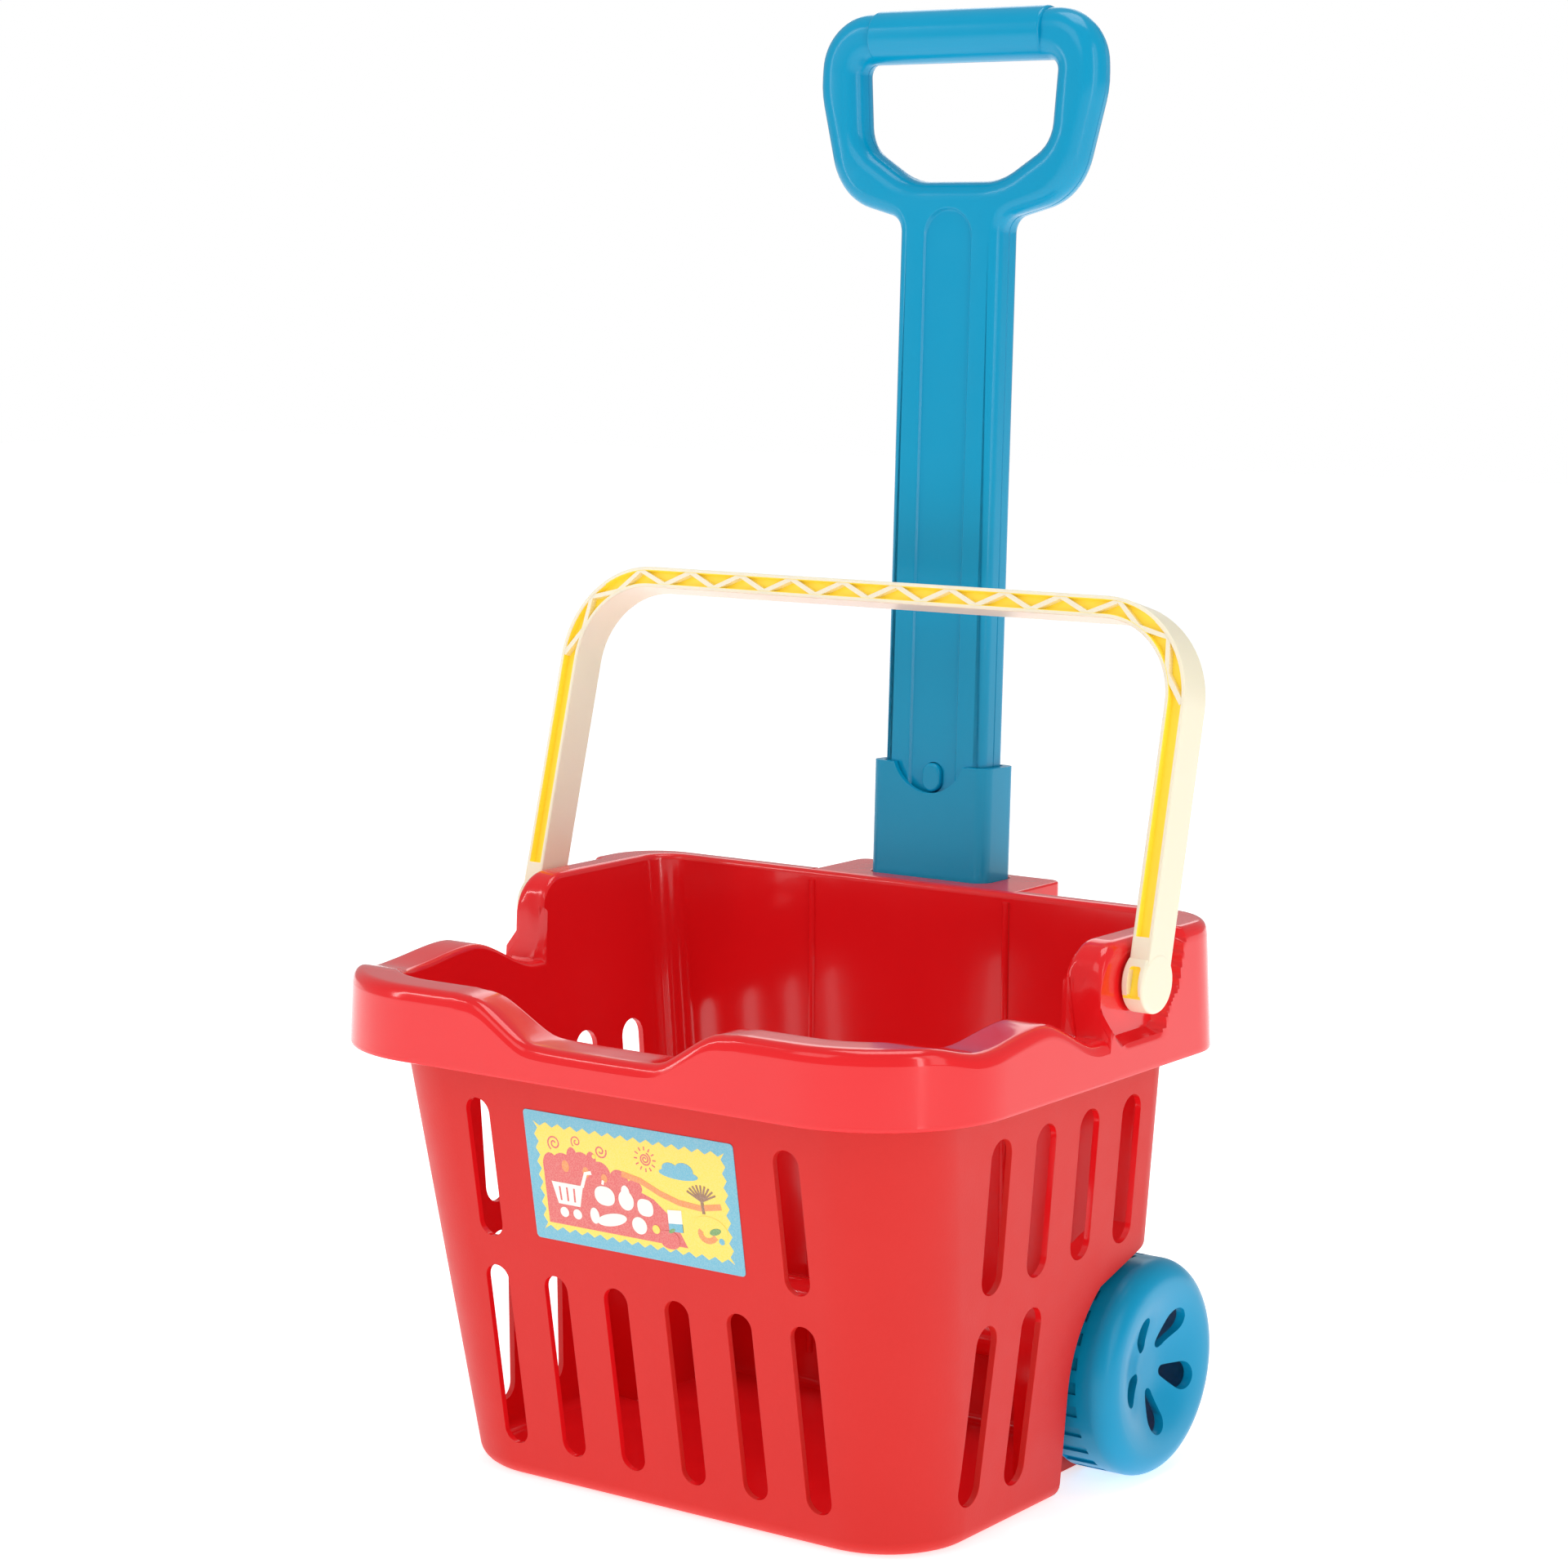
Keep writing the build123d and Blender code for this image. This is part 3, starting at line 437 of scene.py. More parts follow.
basketSizes = {
    "skirtLevel": 160, "rimLevel": 187, "backLevel": 207, "seam": 150, "wall": 2.5, "halfAtSkirt": 115.8,
    "frontAtSkirt": 103, "back": 75, "sideSlope": 12.3 / 160, "frontSlope": 26.9 / 160, "frontRadius": 34,
    "backRadius": 14, "skirtHalf": 135, "skirtFront": 122.2, "skirtBack": 84, "skirtFrontRadius": 51,
    "skirtBackRadius": 24, "skirtDraft": 1.6, "skirtRows": 34, "rimRound": 4.0, "innerRound": 2.2,
    "lipRound": 1.0, "footRound": 6.0, "notchLevel": 172.5, "notchTop": 50, "notchBottom": 29,
    "earFront": -2, "earRound": 13, "pocketDepth": 5.3, "bodyHalf": 88, "axleY": 64, "wheelRadius": 40,
    "archGap": 5.5, "archTopGap": 2.5, "archRise": 17.5, "tunnel": 8, "webHalf": 6.5, "screwBoss": 4.2,
    "bossDepth": 6, "pilot": 1.6, "bead": 1.5, "beadX": 44, "beadFoot": 16, "beadTop": 203.5,
    "mouthHalf": 46.3, "pinHole": 4.06, "pinY": 20, "pinZ": 192, "pinSeat": 120, "pinDepth": 16,
    "bushHole": 5, "bushDepth": 12, "axleHole": 2.8, "overlap": 1,
}


def rimHeight(x, y):
    s = basketSizes
    profile = [(-100, s["rimLevel"]), (-80, s["rimLevel"] - 3.5), (-44, s["rimLevel"]), (-8, 175)]
    height = followPoints(profile, y)
    front, curve = s["earFront"], s["earRound"]
    if y > front - 1.2:
        rise = s["backLevel"] - curve
        if y < front:
            height = height + (rise - height) * smooth(y, front - 1.2, front + 0.3)
        elif y < front + curve:
            height = rise + math.sqrt(max(curve ** 2 - (front + curve - y) ** 2, 0))
        else:
            height = s["backLevel"]
    if y < -60 and abs(x) < s["notchTop"] + 8:
        low = s["notchLevel"]
        t = (abs(x) - s["notchBottom"]) / (s["notchTop"] - s["notchBottom"])
        ramp = 0.5 * (t + math.sqrt(t * t + 0.04))
        ramp = 1 - 0.5 * ((1 - ramp) + math.sqrt((1 - ramp) ** 2 + 0.04)) if ramp > -9 else 0
        height = low + (height - low) * min(max(ramp, 0), 1)
    return height


def outlinePoint(half, front, back, frontRadius, backRadius, part, t):
    # eight parts, anticlockwise from the front edge's left end
    if part == 0:
        return (-half + frontRadius + t * 2 * (half - frontRadius), -front)
    if part in (1, 7):
        side = 1 if part == 1 else -1
        turn = math.radians(90 * (t if part == 1 else 1 - t))
        return (side * (half - frontRadius + frontRadius * math.sin(turn)),
                -front + frontRadius - frontRadius * math.cos(turn))
    if part in (2, 6):
        side, along = (1, t) if part == 2 else (-1, 1 - t)
        return (side * half, -front + frontRadius + along * (back - backRadius + front - frontRadius))
    if part in (3, 5):
        side = 1 if part == 3 else -1
        turn = math.radians(90 * (t if part == 3 else 1 - t))
        return (side * (half - backRadius + backRadius * math.cos(turn)),
                back - backRadius + backRadius * math.sin(turn))
    return (half - backRadius - t * 2 * (half - backRadius), back)


def tubPoint(station, level, inset):
    s = basketSizes
    rise = level - s["skirtLevel"]
    return outlinePoint(s["halfAtSkirt"] + s["sideSlope"] * rise - inset,
                        s["frontAtSkirt"] + s["frontSlope"] * rise - inset, s["back"] - inset,
                        s["frontRadius"] - inset, s["backRadius"] - inset, *station)


def skirtPoint(station, level, inset):
    s = basketSizes
    draft = s["skirtDraft"] * (level - s["skirtLevel"]) / (s["backLevel"] - s["skirtLevel"])
    x, y = outlinePoint(s["skirtHalf"] - draft - inset, s["skirtFront"] - draft - inset,
                        s["skirtBack"] - draft - inset, s["skirtFrontRadius"] - inset,
                        s["skirtBackRadius"] - inset, *station)
    pocket = pocketDepth(y, level)
    return (math.copysign(abs(x) - pocket * (1 - draft / s["pocketDepth"]), x), y)


def pocketDepth(y, level):  # how far the skirt stands back outside the bail's ears
    s = basketSizes
    low = followPoints([(-12, 200), (-5, 181), (7, 173), (30, 173), (42, 186), (50, 207)], y)
    along = smooth(y, -9, -5) * smooth(-y, -50.5, -47)
    return s["pocketDepth"] * smooth(level, low - 1.5, low + 1.5) * along


def makeStations():
    # places round the basket: close together where the rim changes height, wide apart elsewhere
    s = basketSizes
    stations = []
    front = sorted({round(-1 + i / 26, 4) for i in range(53)})
    stations += [(0, (x + 1) / 2) for x in front[:-1]]
    stations += [(1, i / 18) for i in range(18)]
    low, high = -s["frontAtSkirt"] + s["frontRadius"], s["back"] - s["backRadius"]
    places = [low]
    while places[-1] < high - 1.5:
        y = places[-1]
        step = 0.35 if -4.2 < y < -0.5 else (0.9 if -13 < y < 13 else (1.2 if 36 < y < 53 else 2.6))
        places.append(y + step)
    side = [(y - low) / (high - low) for y in places if y < high - 1]
    stations += [(2, t) for t in side]
    stations += [(3, i / 12) for i in range(12)]
    stations += [(4, i / 24) for i in range(24)]
    stations += [(5, i / 12) for i in range(12)]
    stations += [(6, 0.0)] + [(6, 1 - t) for t in reversed(side[1:])]
    stations += [(7, i / 18) for i in range(18)]
    return stations


def rimSection(station):  # up the inside, over the top, down the skirt and back up under it
    s = basketSizes
    wall, seam = s["wall"], s["seam"]
    points = []
    inner = tubPoint(station, s["rimLevel"], wall)
    innerTop = rimHeight(*inner) - s["innerRound"]
    for i in range(7):
        level = seam + (innerTop - seam) * i / 6
        points.append((*tubPoint(station, level, wall), level))
    for i in range(1, 5):
        turn = math.radians(90 * i / 4)
        place = tubPoint(station, innerTop, wall - s["innerRound"] * (1 - math.cos(turn)))
        points.append((*place, rimHeight(*place) - s["innerRound"] * (1 - math.sin(turn))))
    near = tubPoint(station, s["rimLevel"], wall - s["innerRound"])
    top = rimHeight(*skirtPoint(station, s["rimLevel"], 0))
    far = skirtPoint(station, top, s["rimRound"])
    for i in (1, 2, 3):
        place = tuple(p + (q - p) * i / 4 for p, q in zip(near, far))
        points.append((*place, rimHeight(*place)))
    for i in range(7):
        turn = math.radians(90 * i / 6)
        inset = s["rimRound"] * (1 - math.sin(turn))
        level = rimHeight(*skirtPoint(station, s["rimLevel"], inset))
        points.append((*skirtPoint(station, level, inset), level - s["rimRound"] * (1 - math.cos(turn))))
    top = points[-1][2]
    foot = s["skirtLevel"] + s["lipRound"]
    for i in range(1, s["skirtRows"]):
        level = top + (foot - top) * i / s["skirtRows"]
        points.append((*skirtPoint(station, level, 0), level))
    for degrees in (0, 45, 90):
        turn = math.radians(degrees)
        place = skirtPoint(station, s["skirtLevel"], s["lipRound"] * (1 - math.cos(turn)))
        points.append((*place, s["skirtLevel"] + s["lipRound"] * (1 - math.sin(turn))))
    points.append((*skirtPoint(station, s["skirtLevel"], wall), s["skirtLevel"]))
    under = rimHeight(*skirtPoint(station, s["rimLevel"], wall)) - 1.6 * wall
    for i in range(1, 9):
        level = s["skirtLevel"] + (under - s["skirtLevel"]) * i / 8
        points.append((*skirtPoint(station, level, wall), level))
    near, far = skirtPoint(station, under, 1.6 * wall), tubPoint(station, under, -1)
    for i in (0, 1, 2):
        place = tuple(p + (q - p) * i / 2 for p, q in zip(near, far))
        points.append((*place, rimHeight(*place) - wall))
    level = rimHeight(*tubPoint(station, s["rimLevel"], 0)) - 1.4 * wall
    for i in range(5):
        height = level + (seam - level) * i / 4
        points.append((*tubPoint(station, height, 0), height))
    return points


def tubSurface(stations, inset, wellGrow, floorLevel):
    # the tub below the seam as a closed solid whose flat walls are single faces
    s = basketSizes
    count = len(stations)
    corners = [i for i, (part, t) in enumerate(stations) if part % 2 == 1 or t == 0]
    foot = s["footRound"] - inset
    points, faces, rows = [], [], []
    for i in range(7):
        turn = math.radians(90 * i / 6)
        level = floorLevel + foot * (1 - math.cos(turn))
        rows.append([len(points) + k for k in range(len(corners))])
        points += [(*tubPoint(stations[j], level, inset + foot * (1 - math.sin(turn))), level)
                   for j in corners]
    top = [len(points) + k for k in range(count)]
    points += [(*tubPoint(station, s["seam"], inset), s["seam"]) for station in stations]
    n = len(corners)
    for lower, upper in zip(rows, rows[1:]):
        faces += [(lower[k], lower[(k + 1) % n], upper[(k + 1) % n], upper[k]) for k in range(n)]
    for k in range(n):
        start, stop = corners[k], corners[(k + 1) % n]
        run = [i % count for i in range(start, (stop if stop > start else stop + count) + 1)]
        faces.append(tuple([rows[-1][k], rows[-1][(k + 1) % n]] + [top[i] for i in reversed(run)]))
    faces.append(tuple(reversed(rows[0])))
    faces.append(tuple(top))
    solid = turnOutwards(meshObject("tubSurface", points, faces))
    for side in (1, -1):
        near = side * (s["bodyHalf"] - wellGrow)
        combine(solid, alongX(wellOutline(wellGrow), min(near, near + side * 90),
                              max(near, near + side * 90)))
    return solid


def wellOutline(grow):  # space for a wheel: upright in front, round above it, then rising to the back
    s = basketSizes
    radius = s["wheelRadius"] + s["archGap"] + grow
    rise = math.radians(s["archRise"])
    bend = math.pi / 2 + rise + math.acos((s["wheelRadius"] + s["archTopGap"] + grow) / radius)
    outline = [(s["axleY"] - radius, -30)]
    outline += arc((s["axleY"], s["wheelRadius"]), radius, 180, math.degrees(bend), 14)
    y, z = outline[-1]
    behind = s["back"] + 60
    return outline + [(behind, z + (behind - y) * math.tan(rise)), (behind, -30)]


def openTop(solid):  # takes the lid off at the seam
    seam = basketSizes["seam"] * mm
    def change(shape):
        lids = [f for f in shape.faces if all(abs(v.co.z - seam) < 1e-6 for v in f.verts)]
        bmesh.ops.delete(shape, geom=lids, context="FACES")
    return editMesh(solid, change)


def tubSlots():
    s = slotSizes
    prisms = []
    first = -s["frontPitch"] * (s["frontCount"] - 1) / 2
    for i in range(s["frontCount"]):
        x = first + i * s["frontPitch"]
        low = slotOutline(s["frontWidth"], s["lowHeight"], (x, s["lowFoot"] + s["lowHeight"] / 2))
        prisms.append(alongY(low, -140, -40))
        if i in (0, s["frontCount"] - 1):
            high = slotOutline(s["frontWidth"], s["highHeight"], (x, s["highFoot"] + s["highHeight"] / 2))
            prisms.append(alongY(high, -140, -40))
    for i in range(s["sideCount"]):
        y = s["sideFirst"] + i * s["sidePitch"]
        high = slotOutline(s["sideWidth"], s["sideHeight"], (y, s["sideFoot"] + s["sideHeight"] / 2))
        prisms.append(alongX(high, -140, 140))
        if i < s["sideLowCount"]:
            low = slotOutline(s["sideWidth"], s["sideLowHeight"],
                              (y - 2, s["sideLowFoot"] + s["sideLowHeight"] / 2), s["sideLean"])
            prisms.append(alongX(low, -140, 140))
    return join("slots", prisms)


slotSizes = {
    "frontPitch": 26.8, "frontCount": 6, "frontWidth": 10.5, "lowFoot": 13.7, "lowHeight": 69,
    "highFoot": 93.8, "highHeight": 51.9, "sidePitch": 28.9, "sideFirst": -39.6, "sideCount": 4,
    "sideWidth": 13, "sideFoot": 89.5, "sideHeight": 55.2, "sideLowCount": 2, "sideLowFoot": 14.5,
    "sideLowHeight": 64.1, "sideLean": 4.2, "edgeRound": 0.8,
}


def makeTubShell(stations):
    s = basketSizes
    outer = openTop(tubSurface(stations, 0, 0, 0))
    inner = openTop(tubSurface(stations, s["wall"], s["wall"], s["wall"]))
    editMesh(inner, lambda shape: bmesh.ops.reverse_faces(shape, faces=shape.faces))
    count = len(stations)
    ring = [(*tubPoint(station, s["seam"], inset), s["seam"]) for inset in (0, s["wall"])
            for station in stations]
    lid = meshObject("lid", ring,
                     [(i, (i + 1) % count, count + (i + 1) % count, count + i) for i in range(count)])
    shell = mergeDoubles(join("tub", [outer, inner, lid]))
    turnOutwards(shell)
    combine(shell, tubSlots())
    openTop(shell)
    return softenEdges(shell, slotSizes["edgeRound"], 3, 33)


def makeBasket():
    s = basketSizes
    stations = makeStations()
    sections = [rimSection(station) for station in stations]
    rows = len(sections[0])
    points = [p for section in sections for p in section]
    faces = []
    for c in range(len(stations)):
        a, b = c * rows, ((c + 1) % len(stations)) * rows
        faces += [(a + r, b + r, b + r + 1, a + r + 1) for r in range(rows - 1)]
    rim = meshObject("rim", points, faces)
    basket = mergeDoubles(join("basketShell", [rim, makeTubShell(stations)]), 5e-6)
    turnOutwards(basket)
    axle = (s["axleY"], s["wheelRadius"])
    over, half = s["overlap"], s["bodyHalf"]
    screws = housingScrews + sleeveScrews
    tunnel = alongX(circleOutline(s["tunnel"], axle, 40), over - half, half - over)
    web = alongX(boxOutline(s["axleY"], s["wheelRadius"] - s["webHalf"], s["back"] - over,
                            s["wheelRadius"] + s["webHalf"]), 1.2 * over - half, half - 1.2 * over)
    combine(basket, tunnel, "UNION")
    combine(basket, web, "UNION")
    bosses = [alongY(circleOutline(s["screwBoss"], place, 24), s["back"] - over, s["back"] + s["bossDepth"])
              for place in screws]
    beads = [alongZ(circleOutline(s["bead"], (x, s["back"] - s["wall"] + 0.2), 16),
                    s["beadFoot"], s["beadTop"]) for x in (-s["beadX"], s["beadX"])]
    combine(basket, join("additions", bosses + beads), "UNION")
    combine(basket, alongZ(boxOutline(-s["mouthHalf"], s["back"], s["mouthHalf"], s["back"] + 30),
                           s["skirtLevel"] - over, 230))
    cuts = [alongX(circleOutline(s["pinHole"], (s["pinY"], s["pinZ"]), 32), low, low + s["pinDepth"])
            for low in (-s["pinSeat"] - s["pinDepth"], s["pinSeat"])]
    cuts += [alongX(circleOutline(s["bushHole"], axle, 32), low, low + s["bushDepth"] + over)
             for low in (-half - over, half - s["bushDepth"])]
    combine(basket, join("bearingHoles", cuts))
    cuts = [alongX(circleOutline(s["axleHole"], axle, 24), s["bushDepth"] - over - half,
                   half - s["bushDepth"] + over)]
    cuts += [alongY(circleOutline(s["pilot"], place, 16), s["back"] + 0.5, s["back"] + s["bossDepth"] + over)
             for place in screws]
    combine(basket, join("bores", cuts))
    finishShape(basket, 34)
    basket.name = "basketMoulding"
    basket.data.materials.append(redPolishedWithPaintedLight)
    basket.data.materials.append(redTextured)
    # faces outside the tub below the skirt take the textured red; the rest take the polished red, whose
    # brighter base colour is painted light lifting the shaded inside
    for polygon in basket.data.polygons:
        c, n = polygon.center / mm, polygon.normal
        outside = n.x * c.x + n.y * c.y > 5 or n.z < -0.8
        polygon.material_index = 1 if c.z < s["skirtLevel"] - 0.4 and outside else 0
    keep(basket, "basket", "red", [], "basket")


housingScrews = [(x, z) for z in (26, 186) for x in (-39, 39)]
sleeveScrews = [(x, z) for z in (60, 160) for x in (-32, 32)]

makeBasket()
print("basket made")


# Column: places along it are (x, front-to-back, height along the column)

columnSizes = {"lean": 1.95, "foot": 88}
columnPlace = (Matrix.Translation((0, columnSizes["foot"] * mm, 0))
               @ Matrix.Rotation(math.radians(-columnSizes["lean"]), 4, "X"))

housingSizes = {
    "half": 46, "front": 75.3, "rear": 110, "bottom": 6, "top": 207, "wall": 2.5, "cornerRound": 5,
    "edgeRound": 1.2, "screwHead": 3.1, "screwHole": 1.6, "boss": 4.2,
}
sleeveSizes = {
    "width": 52.5, "depth": 21.5, "round": 5, "top": 250, "bottom": 11, "cap": 3, "boreWidth": 45.8,
    "boreDepth": 16.8, "boreRound": 3.4, "wideBore": 213.3, "scoopHalf": 15.5, "scoopDrop": 11,
    "lipRound": 2.2, "edgeRound": 0.7, "lugHalf": 8.5, "lugHalfHeight": 5.7, "lugRound": 3,
    "lugFront": 81.1, "lugRear": 86, "screwHole": 1.6, "wideStep": 1.4, "wideInset": 2,
}


def makeHousing():
    s = housingSizes

    def section(inset):
        return roundCorners([(-s["half"] + inset, s["front"], 0), (s["half"] - inset, s["front"], 0),
                             (s["half"] - inset, s["rear"] - inset, s["cornerRound"] - inset),
                             (-s["half"] + inset, s["rear"] - inset, s["cornerRound"] - inset)])

    housing = alongZ(section(0), s["bottom"], s["top"])
    combine(housing, alongZ([(x, y if y > s["front"] else y - 1) for x, y in section(s["wall"])],
                            s["bottom"] + s["wall"], s["top"] - s["wall"]))
    collar = sleeveOutline(0.3)
    combine(housing, alongZ(collar, s["top"] - 12, s["top"] + 20, columnPlace))
    softenEdges(housing, s["edgeRound"], 3, 40)
    posts = [alongY(circleOutline(s["boss"], place, 24), s["front"] + 6, s["rear"] - 1.2)
             for place in housingScrews]
    combine(housing, join("posts", posts), "UNION")
    holes = [alongY(circleOutline(s["screwHole"], place, 16), s["front"], s["rear"] + 1)
             for place in housingScrews]
    holes += [alongY(circleOutline(s["screwHead"], place, 32), s["rear"] - 1.8, s["rear"] + 1)
              for place in housingScrews]
    for hole in holes:
        combine(housing, hole)
    finishShape(housing, 36)
    housing.name = "handleHousingMoulding"
    keep(housing, "basket", "red", [redPolishedWithPaintedLight], "handle_housing")


def sleeveOutline(grow):
    s = sleeveSizes
    return boxOutline(-s["width"] / 2 - grow, -s["depth"] / 2 - grow,
                      s["width"] / 2 + grow, s["depth"] / 2 + grow, s["round"] + grow)


def makeSleeve():
    s = sleeveSizes
    sleeve = alongZ(sleeveOutline(0), s["bottom"], s["top"])
    r, half = s["lipRound"], s["scoopHalf"]
    low = s["top"] - s["scoopDrop"]
    # arc through both lips and the scoop's foot
    big = (half ** 2 + s["scoopDrop"] ** 2) / (2 * s["scoopDrop"])
    spread = math.degrees(math.asin(half / big))
    scoop = arc((0, low + big), big, 270 - spread, 270 + spread, 20)
    scoop = [(-half - r, s["top"] + 2), (-half - r, s["top"])] + arcLip(-1, scoop[0], r) + scoop[1:-1] \
        + arcLip(1, scoop[-1], r) + [(half + r, s["top"]), (half + r, s["top"] + 2)]
    combine(sleeve, alongY(scoop, -s["depth"], -s["boreDepth"] / 2 + 1))
    bore = boxOutline(-s["boreWidth"] / 2, -s["boreDepth"] / 2, s["boreWidth"] / 2, s["boreDepth"] / 2,
                      s["boreRound"])
    combine(sleeve, alongZ(bore, s["bottom"] + s["cap"], s["top"] + 5))
    wide = boxOutline(-s["boreWidth"] / 2 - s["wideStep"], -s["boreDepth"] / 2 + s["wideInset"],
                      s["boreWidth"] / 2 + s["wideStep"], s["boreDepth"] / 2 - s["wideInset"])
    combine(sleeve, alongZ(wide, s["bottom"] + s["cap"], s["wideBore"]))
    softenEdges(sleeve, s["edgeRound"], 3, 36)
    sleeve.data.transform(columnPlace)
    lugWide, lugHigh = s["lugHalf"], s["lugHalfHeight"]
    lugs = [alongY(boxOutline(x - lugWide, z - lugHigh, x + lugWide, z + lugHigh, s["lugRound"]),
                   s["lugFront"], s["lugRear"]) for x, z in sleeveScrews]
    combine(sleeve, join("lugs", lugs), "UNION")
    holes = [alongY(circleOutline(s["screwHole"], place, 16), s["lugFront"] - 1.1, s["lugRear"] + 1)
             for place in sleeveScrews]
    combine(sleeve, join("holes", holes))
    finishShape(sleeve, 36)
    sleeve.name = "handleSleeveMoulding"
    keep(sleeve, "basket", "blue", [blueAbs], "handle_sleeve")


def arcLip(side, corner, radius):  # the scoop's upper corner, turned over softly
    u, v = corner
    points = [(u + side * radius * t, v - radius * 0.12 * math.sin(math.pi * t)) for t in (0.66, 0.33, 0)]
    return points if side < 0 else points[::-1]


makeHousing()
makeSleeve()
print("housing and sleeve made")

# Pull handle

handleSizes = {
    "foot": 209, "half": 22.5, "deep": 8.0, "tubeRound": 4.0, "gripRound": 7.6, "parting": 0.08,
    "chamfer": 0.4, "neck": 455, "shoulderHalf": 52.5, "shoulder": 463, "sideHalf": 62.5, "side": 503,
    "topHalf": 61, "top": 532, "windowTop": 513, "windowHalf": 43.2, "windowSide": 483, "windowFoot": 469,
    "windowFootHalf": 19.5, "barTop": 533, "barRadius": 9.9, "barHalf": 38, "barRound": 1.2,
    "grooveHalf": 10.6, "grooveDepth": 1.3, "grooveTop": 459, "grooveFoot": 217, "grooveSoft": 1.5,
    "buttonWidth": 8, "buttonHeight": 11, "buttonLevel": 244.8, "buttonProud": 0.9, "screwHead": 3.1,
    "screwSeat": 6.0,
}
handleBosses = [(0, 290), (0, 365), (0, 440), (-30, 465), (30, 465)]


def handleOutline():
    s = handleSizes
    right = [(s["half"], s["foot"], 1.5), (s["half"], s["neck"], 7), (s["shoulderHalf"], s["shoulder"], 25),
             (s["sideHalf"], s["side"], 38), (s["topHalf"], s["top"], 21)]
    return roundCorners(right + [(-x, v, r) for x, v, r in reversed(right)], 6)


def windowOutline():
    s = handleSizes
    right = [(s["windowFootHalf"], s["windowFoot"], 24), (s["windowHalf"] - 2, s["windowSide"], 14),
             (s["windowHalf"], s["windowTop"], 4)]
    return roundCorners(right + [(-x, v, r) for x, v, r in reversed(right)], 9)


def roundedRings(outline, side, facing):
    # rings from the parting face over a rounded edge to the flat front; side -1 is for a window
    s = handleSizes
    rounds = [s["tubeRound"] + (s["gripRound"] - s["tubeRound"]) * smooth(v, s["neck"] - 12, s["neck"] + 22)
              for u, v in outline]
    steps = [(s["parting"], s["chamfer"] * 0.8), (s["chamfer"], 0)]
    rings = []
    for depth, inset in steps:
        rings.append([(u, facing * depth, v) for u, v in offsetOutline(outline, side * inset)])
    for i in range(9):
        turn = math.radians(90 * i / 8)
        moved = offsetOutline(outline, [side * r * (1 - math.cos(turn)) for r in rounds])
        rings.append([(u, facing * (s["deep"] - r + r * math.sin(turn)), v)
                      for (u, v), r in zip(moved, rounds)])
    return rings


def makeHandleHalf(name, node, facing):  # facing -1 is the front half
    s = handleSizes
    points, faces = [], []
    outer = addRings(points, faces, roundedRings(handleOutline(), 1, facing))
    window = addRings(points, faces, roundedRings(windowOutline(), -1, facing))
    flat = [outer[-1], window[-1]]
    if facing < 0:
        groove = slotOutline(2 * s["grooveHalf"], s["grooveTop"] - s["grooveFoot"],
                             (0, (s["grooveTop"] + s["grooveFoot"]) / 2), 0, 7.5)
        rings = []
        for i in range(7):
            drop = s["grooveDepth"] * smooth(i, 0, 6)
            moved = offsetOutline(groove, s["grooveSoft"] * (i / 6 - 0.3))
            rings.append([(u, facing * (s["deep"] - drop), v) for u, v in moved])
        sunk = addRings(points, faces, rings)
        flat.append(sunk[0])
        fillFlat(points, faces, [sunk[-1]])
    fillFlat(points, faces, flat)
    fillFlat(points, faces, [outer[0], window[0]])
    half = turnOutwards(meshObject(name, points, faces))
    r, e = s["barRadius"], s["barRound"]
    profile = [(-s["barHalf"], 0)] + [(-s["barHalf"] + e - e * math.cos(a), r - e + e * math.sin(a))
                                      for a in (0, 0.4, 0.8, 1.2, math.pi / 2)]
    profile += [(-x, rr) for x, rr in reversed(profile)]
    bar = revolveX(profile, 40, Matrix.Translation((0, 0, (s["barTop"] - r) * mm)))
    half.data.update()
    trim = alongZ(boxOutline(-90, min(facing * 0.12, facing * 30), 90, max(facing * 0.12, facing * 30)),
                  480, 560)
    combine(bar, trim, "INTERSECT")
    combine(half, bar, "UNION")
    if facing < 0:
        hole = slotOutline(s["buttonWidth"] + 0.6, s["buttonHeight"] + 0.6, (0, s["buttonLevel"]))
        combine(half, alongY(hole, -s["deep"] - 2, -1))
    else:
        for place in handleBosses:
            combine(half, alongY(circleOutline(s["screwHead"], place, 32), s["screwSeat"], s["deep"] + 3))
    half.data.transform(columnPlace)
    finishShape(half, 40)
    half.name = name
    keep(half, "pull_handle", "blue", [blueAbs], node)


def makeButton():
    s = handleSizes
    outline = slotOutline(s["buttonWidth"], s["buttonHeight"], (0, s["buttonLevel"]))
    front, r = s["deep"] + s["buttonProud"], 1.1
    rings = [[(u, -3.0, v) for u, v in outline]]
    for i in range(7):
        turn = math.radians(90 * i / 6)
        rings.append([(u, -(front - r + r * math.sin(turn)), v)
                      for u, v in offsetOutline(outline, r * (1 - math.cos(turn)))])
    points, faces = [], []
    numbers = addRings(points, faces, rings)
    fillFlat(points, faces, [numbers[0]])
    fillFlat(points, faces, [numbers[-1]])
    button = finishShape(turnOutwards(meshObject("latchButtonCap", points, faces, columnPlace)))
    keep(button, "latch", "blue", [blueAbs], "latch_button")


makeHandleHalf("handleFrontMoulding", "handle_front_shell", -1)
makeHandleHalf("handleRearMoulding", "handle_rear_shell", 1)
makeButton()
print("pull handle made")

# Geometry-node trees

def newTree(name, inputs):
    tree = bpy.data.node_groups.new(name, "GeometryNodeTree")
    tree.interface.new_socket("Geometry", in_out="INPUT", socket_type="NodeSocketGeometry")
    for label, kind, value in inputs:
        socket = tree.interface.new_socket(label, in_out="INPUT", socket_type=kind)
        if value is not None:
            socket.default_value = value
    tree.interface.new_socket("Geometry", in_out="OUTPUT", socket_type="NodeSocketGeometry")
    return tree, tree.nodes.new("NodeGroupInput"), tree.nodes.new("NodeGroupOutput")


